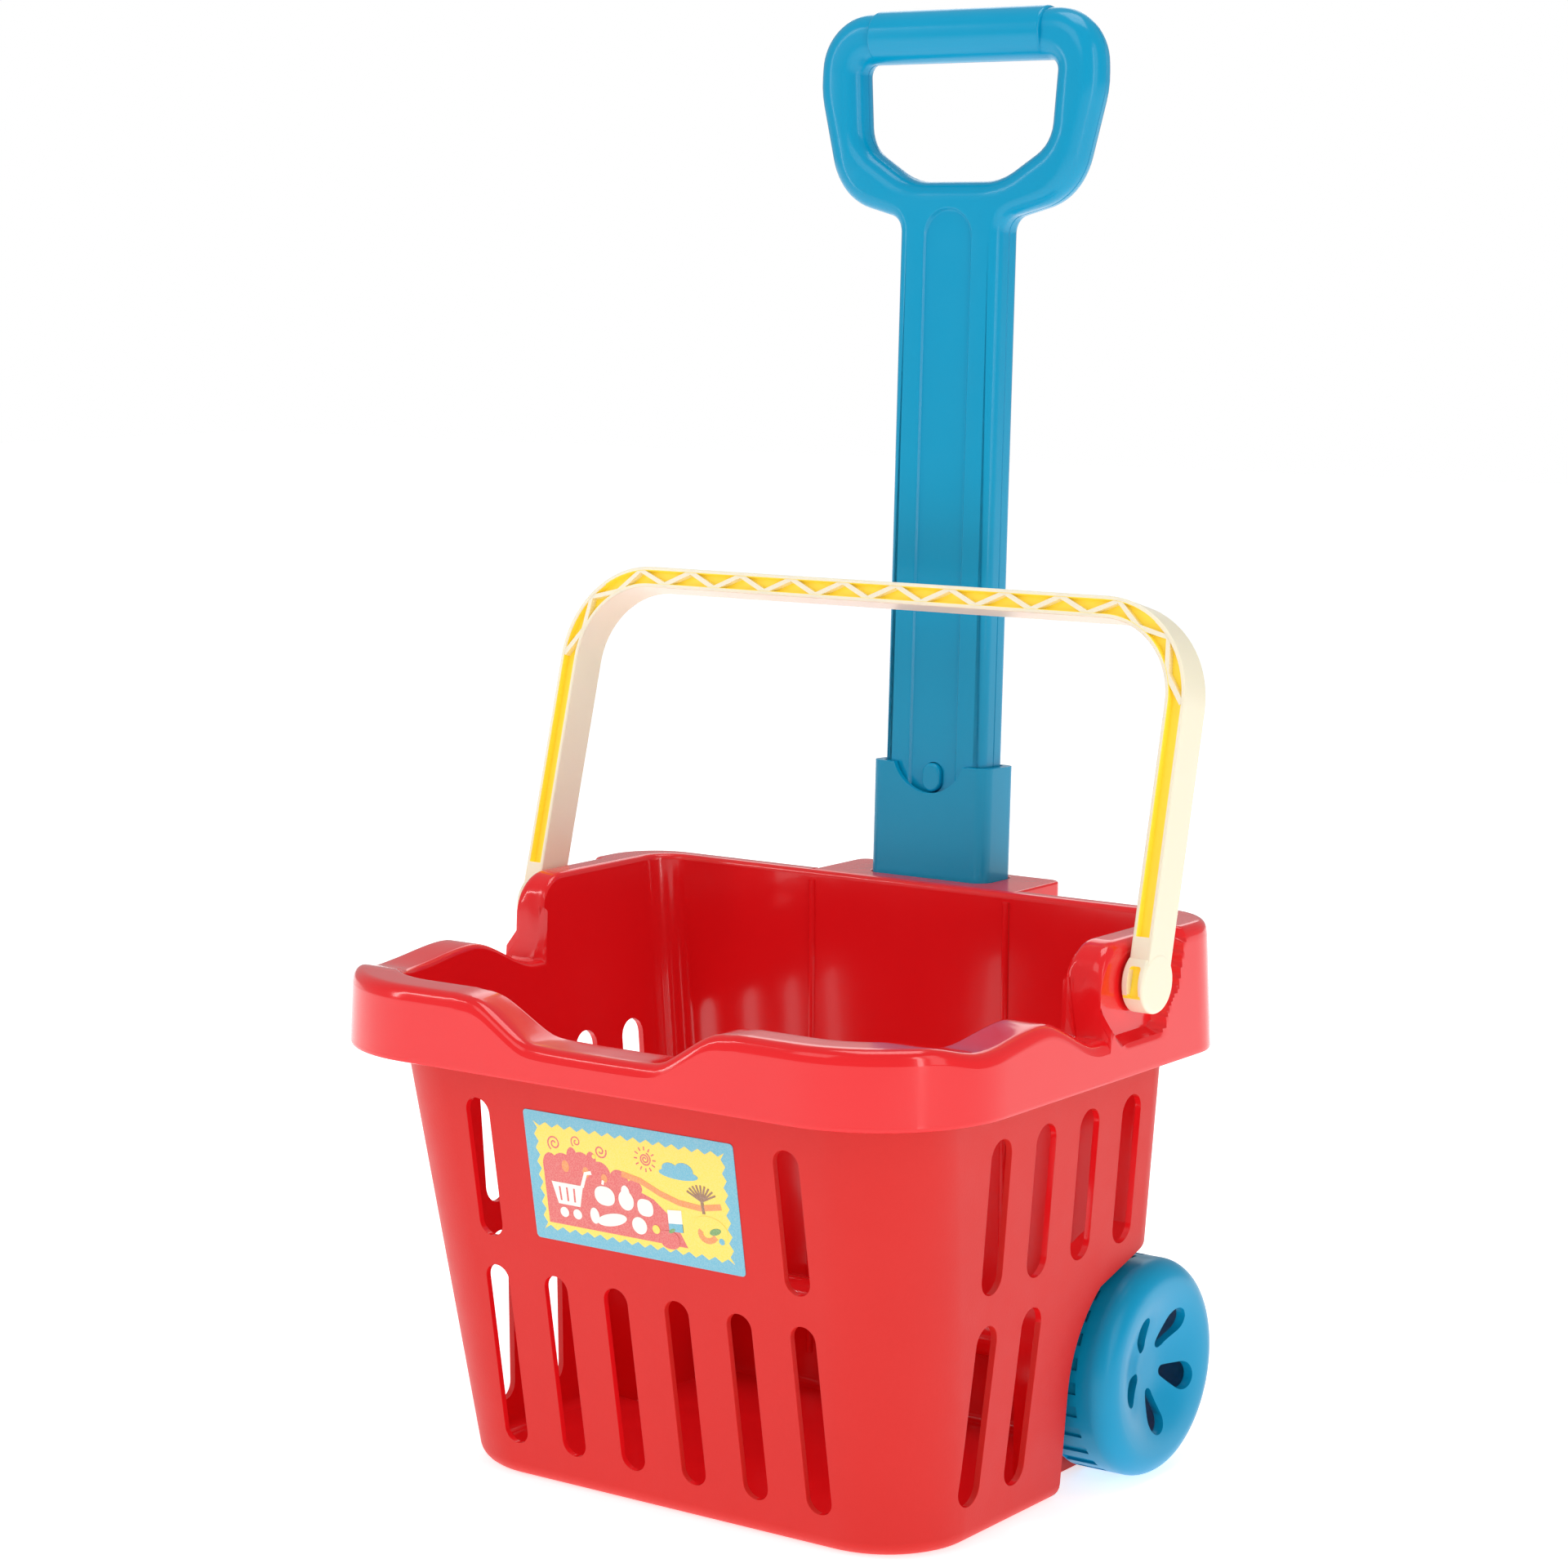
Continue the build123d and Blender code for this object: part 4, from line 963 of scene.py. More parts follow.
def runTree(thing, tree, values):
    # sets the tree's inputs by identifier, then turns the result into a plain mesh
    step = thing.modifiers.new(tree.name, "NODES")
    step.node_group = tree
    for socket in tree.interface.items_tree:
        if socket.item_type == "SOCKET" and socket.in_out == "INPUT" and socket.name in values:
            step[socket.identifier] = values[socket.name]
    return applyModifiers(thing)


def finishTree(tree, shape, source, material):
    real = addNode(tree, "GeometryNodeRealizeInstances", links={0: shape})
    painted = addNode(tree, "GeometryNodeSetMaterial", links={"Geometry": real.outputs[0]})
    tree.links.new(source.outputs[material], painted.inputs["Material"])
    return painted.outputs[0]


def screwTree():  # pan-head screws standing on points, along each point's axis attribute
    number = "NodeSocketFloat"
    tree, source, result = newTree("panHeadScrews", [
        ("Head Radius", number, 0.003), ("Head Height", number, 0.0018), ("Shank Radius", number, 0.0015),
        ("Shank Length", number, 0.02), ("Slot Width", number, 0.0007), ("Slot Length", number, 0.0036),
        ("Finish", "NodeSocketMaterial", None)])

    def scaled(label, factor):
        return addNode(tree, "ShaderNodeMath", {"operation": "MULTIPLY"}, {1: factor},
                       {0: source.outputs[label]}).outputs[0]

    rings = []
    for low, high, wide, narrow in ((0, 0.5, 1.0, 0.98), (0.5, 0.8, 0.98, 0.88), (0.8, 1.0, 0.88, 0.66)):
        cone = addNode(tree, "GeometryNodeMeshCone", {"fill_type": "NONE"}, {"Vertices": 28},
                       {"Radius Bottom": scaled("Head Radius", wide),
                        "Radius Top": scaled("Head Radius", narrow),
                        "Depth": scaled("Head Height", high - low)})
        lift = addNode(tree, "ShaderNodeCombineXYZ", links={"Z": scaled("Head Height", low)})
        rings.append(addNode(tree, "GeometryNodeTransform",
                             links={"Geometry": cone.outputs[0], "Translation": lift.outputs[0]}).outputs[0])
    for level, size in ((0, 1.0), (1, 0.66)):
        lid = addNode(tree, "GeometryNodeMeshCircle", {"fill_type": "NGON"}, {"Vertices": 28},
                      {"Radius": scaled("Head Radius", size)})
        lift = addNode(tree, "ShaderNodeCombineXYZ", links={"Z": scaled("Head Height", level)})
        rings.append(addNode(tree, "GeometryNodeTransform",
                             links={"Geometry": lid.outputs[0], "Translation": lift.outputs[0]}).outputs[0])
    head = addNode(tree, "GeometryNodeJoinGeometry")
    for ring in rings:
        tree.links.new(ring, head.inputs[0])
    closed = addNode(tree, "GeometryNodeMergeByDistance", values={"Distance": 1e-6},
                     links={0: head.outputs[0]})
    recess = addNode(tree, "GeometryNodeMeshBoolean", {"operation": "DIFFERENCE", "solver": "EXACT"},
                     links={0: closed.outputs[0]})
    for wide, long in (("Slot Width", "Slot Length"), ("Slot Length", "Slot Width")):
        size = addNode(tree, "ShaderNodeCombineXYZ", links={"X": source.outputs[wide],
                                                            "Y": source.outputs[long],
                                                            "Z": scaled("Head Height", 1.1)})
        bar = addNode(tree, "GeometryNodeMeshCube", links={"Size": size.outputs[0]})
        lift = addNode(tree, "ShaderNodeCombineXYZ", links={"Z": scaled("Head Height", 1.0)})
        moved = addNode(tree, "GeometryNodeTransform",
                        links={"Geometry": bar.outputs[0], "Translation": lift.outputs[0]})
        tree.links.new(moved.outputs[0], recess.inputs[1])
    shank = addNode(tree, "GeometryNodeMeshCylinder", values={"Vertices": 14},
                    links={"Radius": source.outputs["Shank Radius"],
                           "Depth": source.outputs["Shank Length"]})
    drop = addNode(tree, "ShaderNodeMath", {"operation": "MULTIPLY"}, {1: -0.5},
                   {0: source.outputs["Shank Length"]})
    lower = addNode(tree, "ShaderNodeCombineXYZ", links={"Z": drop.outputs[0]})
    sunk = addNode(tree, "GeometryNodeTransform",
                   links={"Geometry": shank.outputs[0], "Translation": lower.outputs[0]})
    screw = addNode(tree, "GeometryNodeJoinGeometry")
    tree.links.new(recess.outputs[0], screw.inputs[0])
    tree.links.new(sunk.outputs[0], screw.inputs[0])
    axis = addNode(tree, "GeometryNodeInputNamedAttribute", {"data_type": "FLOAT_VECTOR"}, {"Name": "axis"})
    turn = addNode(tree, "FunctionNodeAlignRotationToVector", {"axis": "Z"},
                   links={"Vector": axis.outputs[0]})
    placed = addNode(tree, "GeometryNodeInstanceOnPoints", links={
        "Points": source.outputs["Geometry"], "Instance": screw.outputs[0], "Rotation": turn.outputs[0]})
    tree.links.new(finishTree(tree, placed.outputs[0], source, "Finish"), result.inputs[0])
    return tree


screws = screwTree()


def makeScrews(name, body, node, places, axis, length, headHeight=1.8):
    # places are the seats of the heads, and axis points out of them
    thing = meshObject(name, places, [])
    thing.data.attributes.new("axis", "FLOAT_VECTOR", "POINT")
    for i in range(len(places)):
        thing.data.attributes["axis"].data[i].vector = axis
    runTree(thing, screws, {"Shank Length": length * mm, "Head Height": headHeight * mm, "Finish": steel})
    finishShape(thing, 30)
    keep(thing, body, "steel", [steel], node)


back = (0, 1, 0)
columnBack = columnPlace.to_3x3() @ Vector((0, 1, 0))
makeScrews("housingScrews", "basket", "housing_screws",
           [(x, housingSizes["rear"] - 1.8, z) for x, z in housingScrews], back, 31.7)
makeScrews("sleeveScrews", "basket", "sleeve_screws",
           [(x, sleeveSizes["lugRear"], z) for x, z in sleeveScrews], back, 9.5)
makeScrews("handleScrews", "pull_handle", "handle_screws",
           [tuple(c / mm for c in columnPlace @ (Vector((x, handleSizes["screwSeat"], s)) * mm))
            for x, s in handleBosses], columnBack, 10)
print("screws made")

# Wheels

wheelSizes = {
    "radius": 40, "inside": 91.8, "outside": 119.8, "axleY": 64, "hubFace": 112.8, "shoulder": 8.5,
    "faceRim": 31.5, "wall": 2.6, "hub": 7, "axle": 2.5, "petals": 5, "petalStart": 51, "petalInner": 8,
    "petalOuter": 24.5, "petalTip": 2.2, "petalEnd": 5.2, "edgeRound": 0.7, "treadCount": 28,
    "treadDepth": 1.0, "treadLength": 13, "segments": 112,
}


def treadTree():  # a ring of blocks taken out of a drum that turns about the X axis
    number = "NodeSocketFloat"
    tree, source, result = newTree("treadRecesses", [
        ("Count", "NodeSocketInt", 28), ("Radius", number, 0.04), ("Block Length", number, 0.013),
        ("Block Width", number, 0.0045), ("Depth", number, 0.001), ("Middle", "NodeSocketVector", None),
        ("Finish", "NodeSocketMaterial", None)])
    ring = addNode(tree, "GeometryNodeMeshCircle", {"fill_type": "NONE"},
                   links={"Vertices": source.outputs["Count"], "Radius": source.outputs["Radius"]})
    depth = addNode(tree, "ShaderNodeMath", {"operation": "MULTIPLY"}, {1: 2.0},
                    {0: source.outputs["Depth"]})
    size = addNode(tree, "ShaderNodeCombineXYZ", links={"X": depth.outputs[0],
                                                        "Y": source.outputs["Block Width"],
                                                        "Z": source.outputs["Block Length"]})
    block = addNode(tree, "GeometryNodeMeshCube", links={"Size": size.outputs[0]})
    place = addNode(tree, "GeometryNodeInputPosition")
    turn = addNode(tree, "FunctionNodeAlignRotationToVector", {"axis": "X", "pivot_axis": "Z"},
                   links={"Vector": place.outputs[0]})
    blocks = addNode(tree, "GeometryNodeInstanceOnPoints", links={
        "Points": ring.outputs[0], "Instance": block.outputs[0], "Rotation": turn.outputs[0]})
    real = addNode(tree, "GeometryNodeRealizeInstances", links={0: blocks.outputs[0]})
    upright = addNode(tree, "GeometryNodeTransform", values={"Rotation": (0, math.pi / 2, 0)},
                      links={"Geometry": real.outputs[0], "Translation": source.outputs["Middle"]})
    carved = addNode(tree, "GeometryNodeMeshBoolean", {"operation": "DIFFERENCE", "solver": "EXACT"},
                     links={0: source.outputs["Geometry"], 1: upright.outputs[0]})
    tree.links.new(finishTree(tree, carved.outputs[0], source, "Finish"), result.inputs[0])
    return tree


def petalOutline(turn):
    s = wheelSizes
    inner, outer = s["petalInner"] + s["petalTip"], s["petalOuter"] - s["petalEnd"]
    lean = math.degrees(math.asin((s["petalEnd"] - s["petalTip"]) / (outer - inner)))
    points = arc((outer, 0), s["petalEnd"], -90 - lean, 90 + lean, 16)
    points += arc((inner, 0), s["petalTip"], 90 + lean, 270 - lean, 8)
    a = math.radians(turn)
    return [(s["axleY"] + u * math.cos(a) - v * math.sin(a), s["radius"] + u * math.sin(a) + v * math.cos(a))
            for u, v in points]


treads = treadTree()


def makeWheel(side):
    s = wheelSizes
    out, hub = s["outside"], s["hubFace"]
    profile = [(hub, 0)]
    profile += [(hub + (out - hub) * smooth(r, 5, s["faceRim"]), r)
                for r in [3, 5] + [5 + (s["faceRim"] - 5) * i / 14 for i in range(1, 15)]]
    profile += arc((out - s["shoulder"], s["radius"] - s["shoulder"]), s["shoulder"], 0, 90, 14)[1:]
    profile += [(s["inside"] + 0.8, s["radius"]), (s["inside"], s["radius"] - 0.8)]
    drum = s["radius"] - s["wall"] - s["treadDepth"]
    profile += [(s["inside"], drum), (out - s["shoulder"] - 1, drum), (out - s["wall"] - 1, 28),
                (hub - s["wall"], s["hub"] + 3), (hub - s["wall"], s["hub"]), (s["inside"], s["hub"]),
                (s["inside"], s["axle"]), (hub - s["wall"] - 1.5, s["axle"]), (hub - s["wall"] - 1.5, 0)]
    wheel = revolveX(profile, s["segments"], Matrix.Translation((0, s["axleY"] * mm, s["radius"] * mm)))
    petals = [alongX(petalOutline(s["petalStart"] + 360 / s["petals"] * i), s["inside"] + 4, out + 5)
              for i in range(s["petals"])]
    combine(wheel, join("petals", petals))
    softenEdges(wheel, s["edgeRound"], 3, 40)
    middle = (s["inside"] + 1.5 + s["treadLength"] / 2, s["axleY"], s["radius"])
    runTree(wheel, treads, {
        "Count": s["treadCount"], "Radius": s["radius"] * mm, "Block Length": s["treadLength"] * mm,
        "Block Width": math.pi * s["radius"] / s["treadCount"] * mm, "Depth": s["treadDepth"] * mm,
        "Middle": tuple(c * mm for c in middle), "Finish": blueTyre})
    if side < 0:
        wheel.data.transform(Matrix.Scale(-1, 4, (1, 0, 0)))
        turnOutwards(wheel)
    finishShape(wheel, 34)
    name = "left" if side < 0 else "right"
    wheel.name = name + "WheelMoulding"
    keep(wheel, "wheelset", "blue", [blueTyre], "wheel_" + name)


makeWheel(1)
makeWheel(-1)
print("wheels made")

# Carry bail: drawn upright about its pins, front towards -Y, then leaned back

bailSizes = {
    "pivotY": 20, "pivotZ": 192, "lean": 14.5, "half": 139.45, "rise": 133, "taper": 1.5, "corner": 37,
    "thick": 8, "band": 16, "channelDepth": 2.8, "channelWall": 1.35, "channelFoot": 15, "edge": 1.1,
    "lip": 0.5, "bossRadius": 10.8, "bossInside": 130.9, "bossThick": 8.6, "bossRound": 1.4, "pin": 4,
    "pinInside": 124.6, "ribWidth": 1.9, "ribCount": 27, "pocketHalf": 2.2, "pocketLow": -6.5,
    "pocketHigh": 4.5,
}
bailPlace = (Matrix.Translation((0, bailSizes["pivotY"] * mm, bailSizes["pivotZ"] * mm))
             @ Matrix.Rotation(math.radians(-bailSizes["lean"]), 4, "X"))


def bailPath():
    # stations of (x, height, outward x, outward height) round the bail's outside, from right to left
    s = bailSizes
    top = s["half"] - s["taper"]
    corners = [(s["half"], 0, 0), (top, s["rise"], s["corner"]), (-top, s["rise"], s["corner"]),
               (-s["half"], 0, 0)]
    path = roundCorners(corners, 4.5)
    foot = s["channelFoot"] / s["rise"]
    ends = [(s["half"] - s["taper"] * foot * t, s["channelFoot"] * t) for t in (1, 1.001)]
    path = [path[0], *ends] + path[1:-1] + [(-x, z) for x, z in reversed(ends)] + [path[-1]]
    stations = []
    for i, (x, z) in enumerate(path):
        before, after = path[max(i - 1, 0)], path[min(i + 1, len(path) - 1)]
        along = Vector((after[0] - before[0], after[1] - before[1])).normalized()
        stations.append((x, z, along.y, -along.x))
    return stations


def bailSection(depth):
    # points (inwards from the outside, frontwards) of the band, with a channel of the given depth
    s = bailSizes
    thick, half, e, lip, wall = s["thick"], s["band"] / 2, s["edge"], s["lip"], s["channelWall"]
    section = arc((e, -half + e), e, 180, 270, 4) + arc((thick - e, -half + e), e, 270, 360, 4)
    section += arc((thick - lip, half - lip), lip, 0, 90, 3)
    floor = half - depth
    section += [(thick - wall, half), (thick - wall - 0.25, half - min(depth, 0.3)),
                (thick - wall - 0.4, floor),
                (wall + 0.4, floor), (wall + 0.25, half - min(depth, 0.3)), (wall, half)]
    return section + arc((lip, half - lip), lip, 90, 180, 3)


def bailBand():
    s = bailSizes
    path = bailPath()
    points, faces = [], []
    for i, (x, z, outX, outZ) in enumerate(path):
        channelled = 1 < i < len(path) - 2
        points += [(x - outX * inwards, -frontwards, z - outZ * inwards)
                   for inwards, frontwards in bailSection(s["channelDepth"] if channelled else 0.02)]
    n = len(points) // len(path)
    for i in range(len(path) - 1):
        faces += [(i * n + k, i * n + (k + 1) % n, (i + 1) * n + (k + 1) % n, (i + 1) * n + k)
                  for k in range(n)]
    faces += [tuple(range(n)), tuple(range(len(points) - 1, len(points) - n - 1, -1))]
    return turnOutwards(meshObject("band", points, faces))


def ribTree():  # a zigzag wall along a curve, swung from side to side of the channel
    number = "NodeSocketFloat"
    tree, source, result = newTree("trussRibs", [
        ("Count", "NodeSocketInt", 31), ("Swing", number, 0.0025), ("Width", number, 0.0015),
        ("Depth", number, 0.005), ("Finish", "NodeSocketMaterial", None)])
    path = addNode(tree, "GeometryNodeMeshToCurve", links={0: source.outputs["Geometry"]})
    even = addNode(tree, "GeometryNodeResampleCurve",
                   links={"Curve": path.outputs[0], "Count": source.outputs["Count"]})
    index = addNode(tree, "GeometryNodeInputIndex")
    odd = addNode(tree, "ShaderNodeMath", {"operation": "MODULO"}, {1: 2.0}, {0: index.outputs[0]})
    sign = addNode(tree, "ShaderNodeMath", {"operation": "MULTIPLY_ADD"}, {1: 2.0, 2: -1.0},
                   {0: odd.outputs[0]})
    length = addNode(tree, "ShaderNodeMath", {"operation": "MULTIPLY"},
                     links={0: sign.outputs[0], 1: source.outputs["Swing"]})
    along = addNode(tree, "GeometryNodeInputTangent")
    across = addNode(tree, "ShaderNodeVectorMath", {"operation": "CROSS_PRODUCT"}, {1: (0, 1, 0)},
                     {0: along.outputs[0]})
    swing = addNode(tree, "ShaderNodeVectorMath", {"operation": "SCALE"},
                    links={0: across.outputs[0], "Scale": length.outputs[0]})
    zigzag = addNode(tree, "GeometryNodeSetPosition", links={"Geometry": even.outputs[0],
                                                             "Offset": swing.outputs[0]})
    flat = addNode(tree, "GeometryNodeSetCurveNormal", {"mode": "FREE"}, {"Normal": (0, 1, 0)},
                   {"Curve": zigzag.outputs[0]})
    profile = addNode(tree, "GeometryNodeCurvePrimitiveQuadrilateral",
                      links={"Width": source.outputs["Depth"], "Height": source.outputs["Width"]})
    wall = addNode(tree, "GeometryNodeCurveToMesh", {}, {"Fill Caps": True},
                   {"Curve": flat.outputs[0], "Profile Curve": profile.outputs[0]})
    tree.links.new(finishTree(tree, wall.outputs[0], source, "Finish"), result.inputs[0])
    return tree


def makeRibs():
    s = bailSizes
    middle = s["thick"] / 2
    path = [(x - outX * middle, z - outZ * middle) for x, z, outX, outZ in bailPath()]
    path = [p for p in path if p[1] > s["rise"] - s["corner"] * 1.02]
    line = bpy.data.meshes.new("ribLine")
    depth = -(s["band"] / 2 - s["channelDepth"] / 2 - 0.1)
    line.from_pydata([(x * mm, depth * mm, z * mm) for x, z in path],
                     [(i, i + 1) for i in range(len(path) - 1)], [])
    ribs = bpy.data.objects.new("ribs", line)
    bpy.context.collection.objects.link(ribs)
    return runTree(ribs, ribTree(), {
        "Count": s["ribCount"], "Swing": (s["thick"] / 2 - s["channelWall"] + 0.1) * mm,
        "Width": s["ribWidth"] * mm,
        "Depth": (s["channelDepth"] - 0.1) * mm, "Finish": ivory})


def makeBail():
    s = bailSizes
    bail = bailBand()
    inside, r, e = s["bossInside"], s["bossRadius"], s["bossRound"]
    outside = inside + s["bossThick"]
    for side in (1, -1):
        boss = [(inside, 0), (inside, r - 0.5), (inside + 0.5, r)]
        boss += arc((outside - e, r - e), e, 90, 0, 6) + [(outside, 0)]
        pin = [(s["pinInside"], 0), (s["pinInside"], s["pin"] - 0.8), (s["pinInside"] + 0.8, s["pin"]),
               (inside + 1, s["pin"]), (inside + 1, 0)]
        for profile, count in ((boss, 56), (pin, 32)):
            solid = revolveX([(side * x, radius) for x, radius in profile], count)
            combine(bail, solid, "UNION")
        middle = (inside + outside) / 2 + 0.2
        pocket = boxOutline(middle - s["pocketHalf"], s["pocketLow"], middle + s["pocketHalf"],
                            s["pocketHigh"], 1.2)
        cutter = alongY([(side * x, z) for x, z in pocket], -r - 2, -r + 3.4)
        combine(bail, cutter)
    mergeDoubles(bail)
    count = len(bail.data.polygons)
    bail = join("carryBailMoulding", [bail, makeRibs()])
    bail.data.materials.clear()
    bail.data.materials.append(ivory)
    bail.data.materials.append(paintedGlowYellow)
    front = -s["band"] / 2
    # channel and pin-pocket faces get the painted-glow yellow, which is painted light in the recesses; the
    # other faces stay ivory
    for i, polygon in enumerate(bail.data.polygons):
        if i >= count:
            polygon.material_index = 0
            continue
        c = polygon.center / mm
        high = c.z > s["channelFoot"] - 0.5
        inChannel = high and 0.12 < c.y - front < s["channelDepth"] + 0.1 and insideBand(c)
        inPocket = not high and abs(c.z + 1) < 5.8 and -9.6 < c.y < -5 and abs(abs(c.x) - 135.4) < 2.25
        polygon.material_index = 1 if inChannel or inPocket else 0
    bail.data.transform(bailPlace)
    finishShape(bail, 34)
    keep(bail, "bail", "cream", [], "carry_bail")


def insideBand(c):  # whether a point lies between the channel's walls, not on the band's outer faces
    s = bailSizes
    x, z = abs(c.x), c.z
    top = s["half"] - s["taper"]
    centre = (top - s["corner"], s["rise"] - s["corner"])
    if x > centre[0] and z > centre[1]:
        depth = s["corner"] - math.hypot(x - centre[0], z - centre[1])
    elif z > centre[1]:
        depth = s["rise"] - z
    else:
        depth = s["half"] - s["taper"] * z / s["rise"] - x
    return s["channelWall"] - 0.1 < depth < s["thick"] - s["channelWall"] + 0.1


makeBail()
print("bail made")

# Finishes of the nodes that stay as they are

for node, material in {"axle": steel, "latch_spring": steel, "axle_bush_left": whiteNylon,
                       "axle_bush_right": whiteNylon, "axle_washer_left": whiteNylon,
                       "axle_washer_right": whiteNylon, "bail_clip_left": whiteNylon,
                       "bail_clip_right": whiteNylon, "tube_shoe": blueAbs}.items():
    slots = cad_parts[node].data.materials
    for i in range(len(slots)):
        slots[i] = material
    if not slots:
        slots.append(material)

# Front label: a vinyl film with inks printed one over another, drawn flat from its middle.

labelSizes = {
    "half": 45.6, "halfHeight": 24.2, "thick": 0.4, "base": 0.2, "ink": 0.02, "fieldHalf": 41.6,
    "fieldHalfHeight": 20.4, "teethAlong": 15, "teethUp": 8, "tooth": 1.7, "origin": (0, -96.43, 120.9),
    "slope": 0.168, "round": 1.5,
}
inks = {name: printedFilm("vinylInk" + name.title(), colour) for name, colour in {
    "blue": "#4fb3cf", "yellow": "#fbdd3a", "red": "#dc4a4b", "white": "#fdf8ee", "orange": "#ee8b2c",
    "brown": "#8c5a34", "green": "#5b9a45"}.items()}


def labelPlane():
    up = Vector((0, -labelSizes["slope"], 1)).normalized()
    out = Vector((1, 0, 0)).cross(up)
    turn = Matrix((Vector((1, 0, 0)), up, out)).transposed().to_4x4()
    return Matrix.Translation(Vector(labelSizes["origin"]) * mm) @ turn


def toothedOutline():
    s = labelSizes
    outline = []
    sides = ((0, s["teethAlong"]), (90, s["teethUp"]), (180, s["teethAlong"]), (270, s["teethUp"]))
    for turn, teeth in sides:
        wide, high = (s["fieldHalf"], s["fieldHalfHeight"])[::1 if turn % 180 == 0 else -1]
        a = math.radians(turn)
        for i in range(teeth):
            for step, inset in ((i, 0), (i + 0.5, s["tooth"])):
                u, v = -wide + 2 * wide * step / teeth, inset - high
                outline.append((u * math.cos(a) - v * math.sin(a), u * math.sin(a) + v * math.cos(a)))
    return outline


def blob(x, y, across, high, turn=0, power=2.0):
    a = math.radians(turn)
    ring = []
    for i in range(28):
        t = math.tau * i / 28
        u = across * math.copysign(abs(math.cos(t)) ** (2 / power), math.cos(t))
        v = high * math.copysign(abs(math.sin(t)) ** (2 / power), math.sin(t))
        ring.append((x + u * math.cos(a) - v * math.sin(a), y + u * math.sin(a) + v * math.cos(a)))
    return ring


def strip(points, width):  # a band of even width along a bent line
    left, right = [], []
    for i, p in enumerate(points):
        a, b = points[max(i - 1, 0)], points[min(i + 1, len(points) - 1)]
        length = math.hypot(b[0] - a[0], b[1] - a[1])
        n = (-(b[1] - a[1]) / length * width / 2, (b[0] - a[0]) / length * width / 2)
        left.append((p[0] + n[0], p[1] + n[1]))
        right.append((p[0] - n[0], p[1] - n[1]))
    return right + left[::-1]


def coil(x, y, radius, turns, start, width):
    steps = int(turns * 20)
    line = []
    for i in range(steps + 1):
        r, t = radius * (0.16 + 0.84 * i / steps), math.radians(start) + math.tau * turns * i / steps
        line.append((x + r * math.cos(t), y + r * math.sin(t)))
    return strip(line, width)


def blobs(ink, *rows):
    return [(ink, blob(*row)) for row in rows]


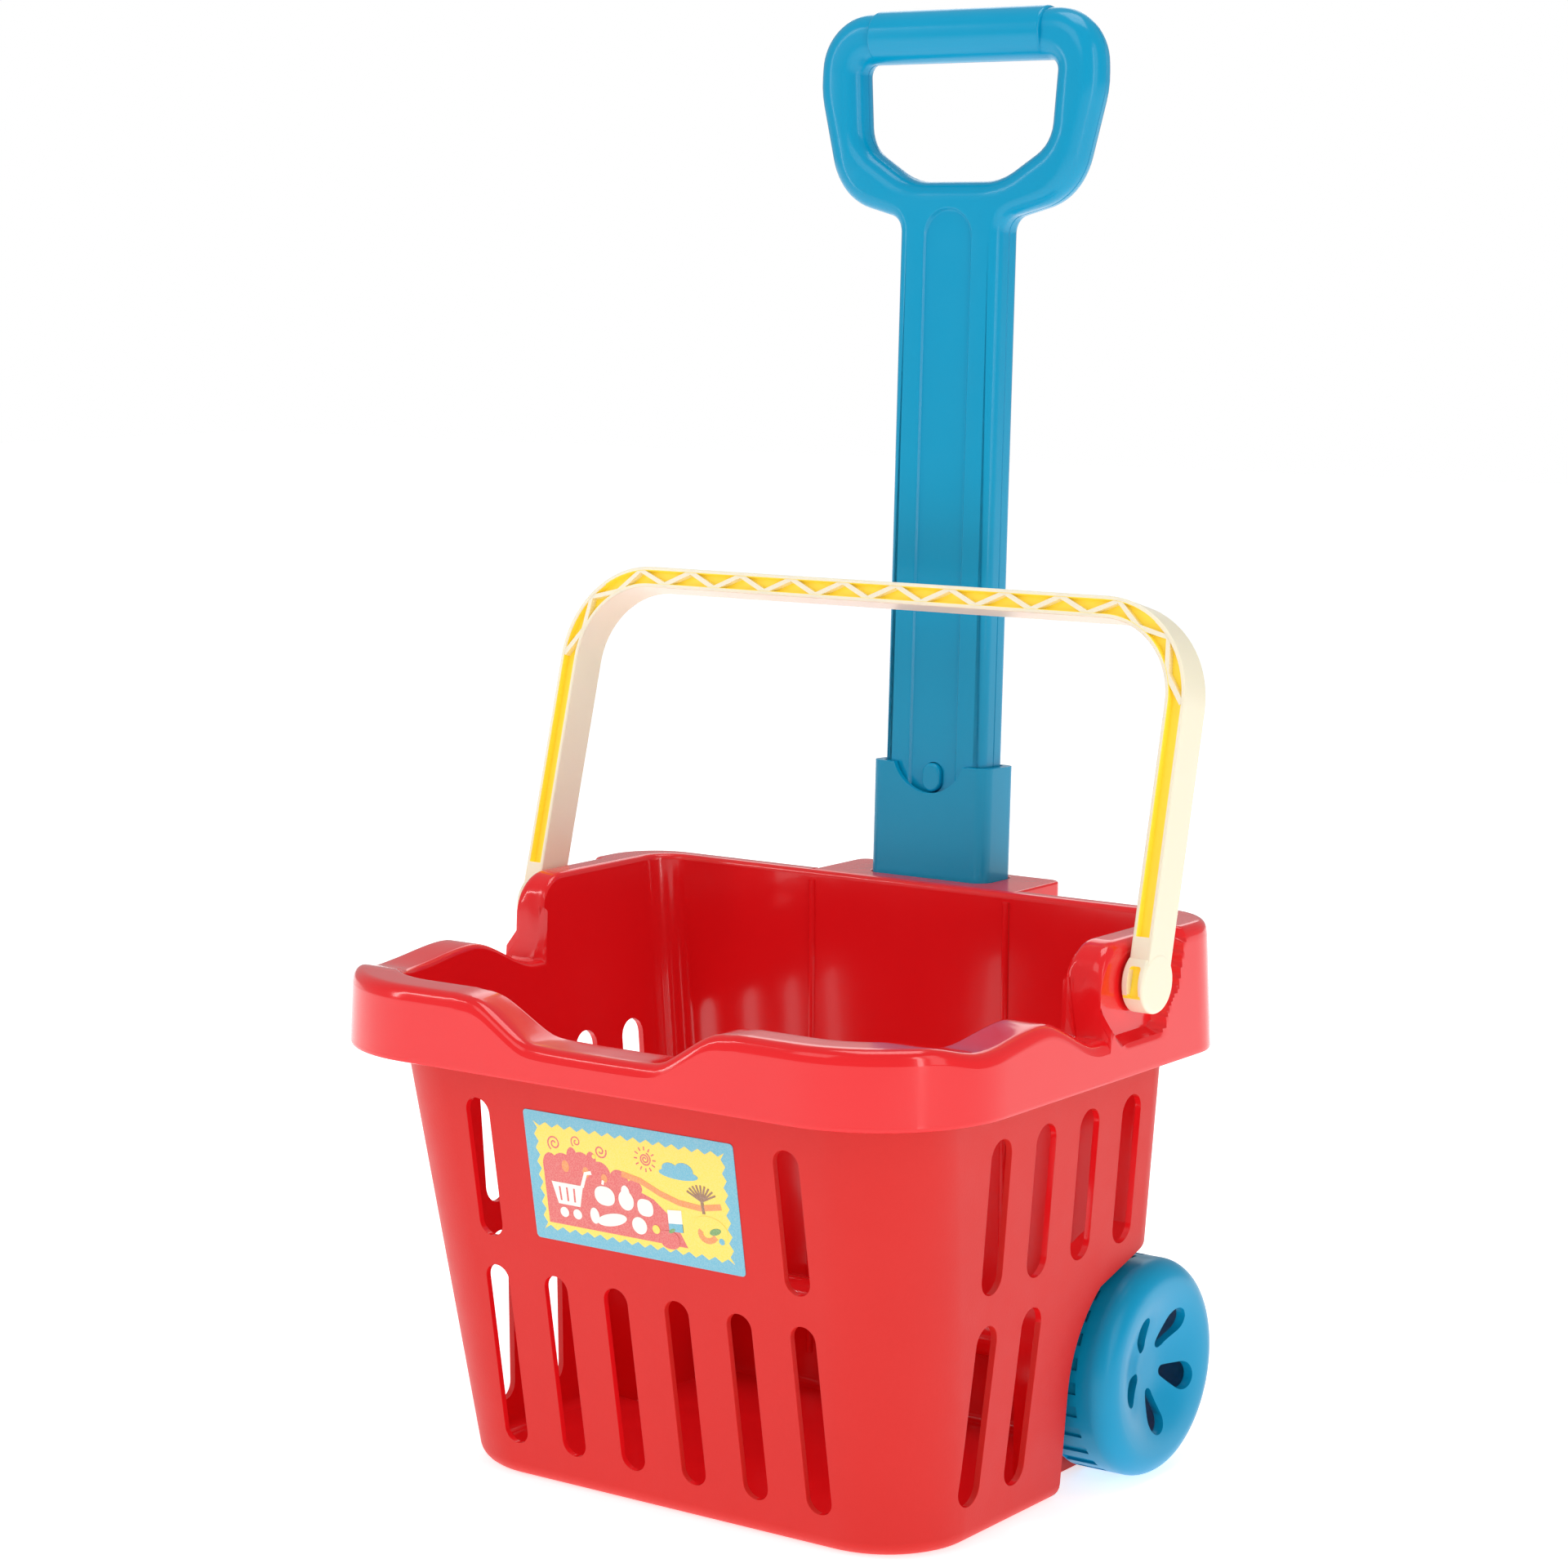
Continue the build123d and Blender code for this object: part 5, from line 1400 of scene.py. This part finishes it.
def labelShapes():  # (ink, outline) pairs, the lowest layer first
    shapes = [("yellow", toothedOutline())]
    hills = [(-39, -17.5), (22, -17.5), (17, -8), (9, -1.5), (0, 1.5), (-10, 2.5), (-39, 3.5)]
    shapes.append(("red", hills))
    shapes += blobs("red", (-30, 4, 5.2, 5.8), (-21.5, 5, 5, 6.4), (-13.5, 4, 4.6, 5), (-5.5, 3, 4.2, 4.2),
                    (-35.5, 4, 3.6, 5.2), (-25.5, 8, 2.6, 4.6), (-17, 8.6, 2.2, 3.6), (1, 1.6, 3.4, 2.8))
    shapes += [("red", coil(-33, 13, 3.0, 1.6, 20, 0.6)), ("red", coil(-23, 15, 2.3, 1.4, 90, 0.5)),
               ("red", coil(-12.5, 13, 2.7, 1.5, 200, 0.6))]
    shapes += blobs("orange", (-29, 5, 1.6, 2.2), (-20, 4, 1.4, 2), (-12, 3, 1.3, 1.6))
    shapes += [("red", coil(7, 13, 2.5, 2.2, 0, 0.55))]
    for i in range(12):
        a = math.tau * i / 12
        ray = [(7 + r * math.cos(a), 13 + r * math.sin(a)) for r in (3.3, 4.7)]
        shapes.append(("red", strip(ray, 0.5)))
    shapes += blobs("blue", (21, 9.5, 8.4, 1.9), (17.5, 11, 3.4, 2.4), (23.5, 11.2, 4, 2.9))
    shapes.append(("orange", strip([(-4, 6), (4, 4.6), (12, 1.2), (20, -1), (29, -1.6), (38, 0.2)], 2.2)))
    for i in range(9):
        a = math.radians(30 + 15 * i)
        shapes.append(("brown", strip([(30, 1), (30 + 7 * math.cos(a), 1 + 6 * math.sin(a))], 0.7)))
    shapes += [("brown", strip([(30, 1.4), (30.4, -3.5)], 1.2)), ("yellow", blob(32, -9.5, 8, 5.4))]
    basket = [(-36, -1.5), (-22, -1.5), (-24.2, -9.6), (-33.8, -9.6)]
    shapes += [("white", basket), ("white", strip([(-22.4, -1.8), (-20.2, 3.6), (-17.6, 4.2)], 1.4)),
               ("white", blob(-31.6, -12.6, 1.9, 1.9)), ("white", blob(-25.8, -12.6, 1.9, 1.9))]
    shapes += [("red", strip([(x, -3), (x * 0.94 - 1.7, -8.2)], 0.8)) for x in (-32.6, -29.4, -26.2)]
    shapes += blobs("white", (-12.6, -3.6, 4.4, 3.6, 0, 2.3), (-3.2, -3.8, 3.3, 3.7), (-3.2, -0.8, 1.8, 2.6),
                    (5, -5.2, 3.4, 3.2, 0, 2.6))
    shapes += [("white", strip([(-13, 0.6), (-12.6, 2.2)], 1)), ("white", blob(-10.4, -12.2, 6.8, 2.3, 14)),
               ("white", blob(1.6, -12.4, 3.2, 3.2)), ("white", blob(-18, -11.8, 2, 3))]
    shapes += [("yellow", blob(8.8, -12.6, 1.6, 1.6)), ("yellow", blob(-15.6, 10.6, 0.8, 0.8))]
    shapes += [("white", [(14.6, -4.4), (20.6, -3.8), (20.6, -12), (14.6, -12.4)]),
               ("blue", [(14.6, -9.4), (20.6, -8.8), (20.6, -12), (14.6, -12.4)]),
               ("red", blob(14.4, -15.6, 4.2, 3.4, 0, 2.3)), ("green", blob(15.8, -12, 1.6, 0.7, 30)),
               ("orange", coil(29.5, -9.6, 5.4, 0.42, 190, 2.2)), ("green", blob(34.6, -9.4, 2.6, 1.2, 20)),
               ("blue", blob(37, -12.6, 1.2, 1.2))]
    return shapes


def makeLabel():
    s = labelSizes
    place = labelPlane()
    layers = [alongZ(boxOutline(-s["half"], -s["halfHeight"], s["half"], s["halfHeight"], s["round"]),
                     0, s["base"], place)]
    names = ["blue"]
    shapes = labelShapes()
    for i, (ink, outline) in enumerate(shapes):
        level = s["base"] + (s["thick"] - s["base"] - s["ink"]) * i / (len(shapes) - 1)
        layers.append(alongZ(outline, s["base"] - 0.01, level + s["ink"], place))
        names.append(ink)
    counts = [len(layer.data.polygons) for layer in layers]
    label = join("frontLabelFilm", layers)
    order = list(inks)
    for name in order:
        label.data.materials.append(inks[name])
    indices = [order.index(name) for name, count in zip(names, counts) for _ in range(count)]
    label.data.polygons.foreach_set("material_index", indices)
    keep(label, "basket", "label", [], "front_label")


makeLabel()
print("label made")
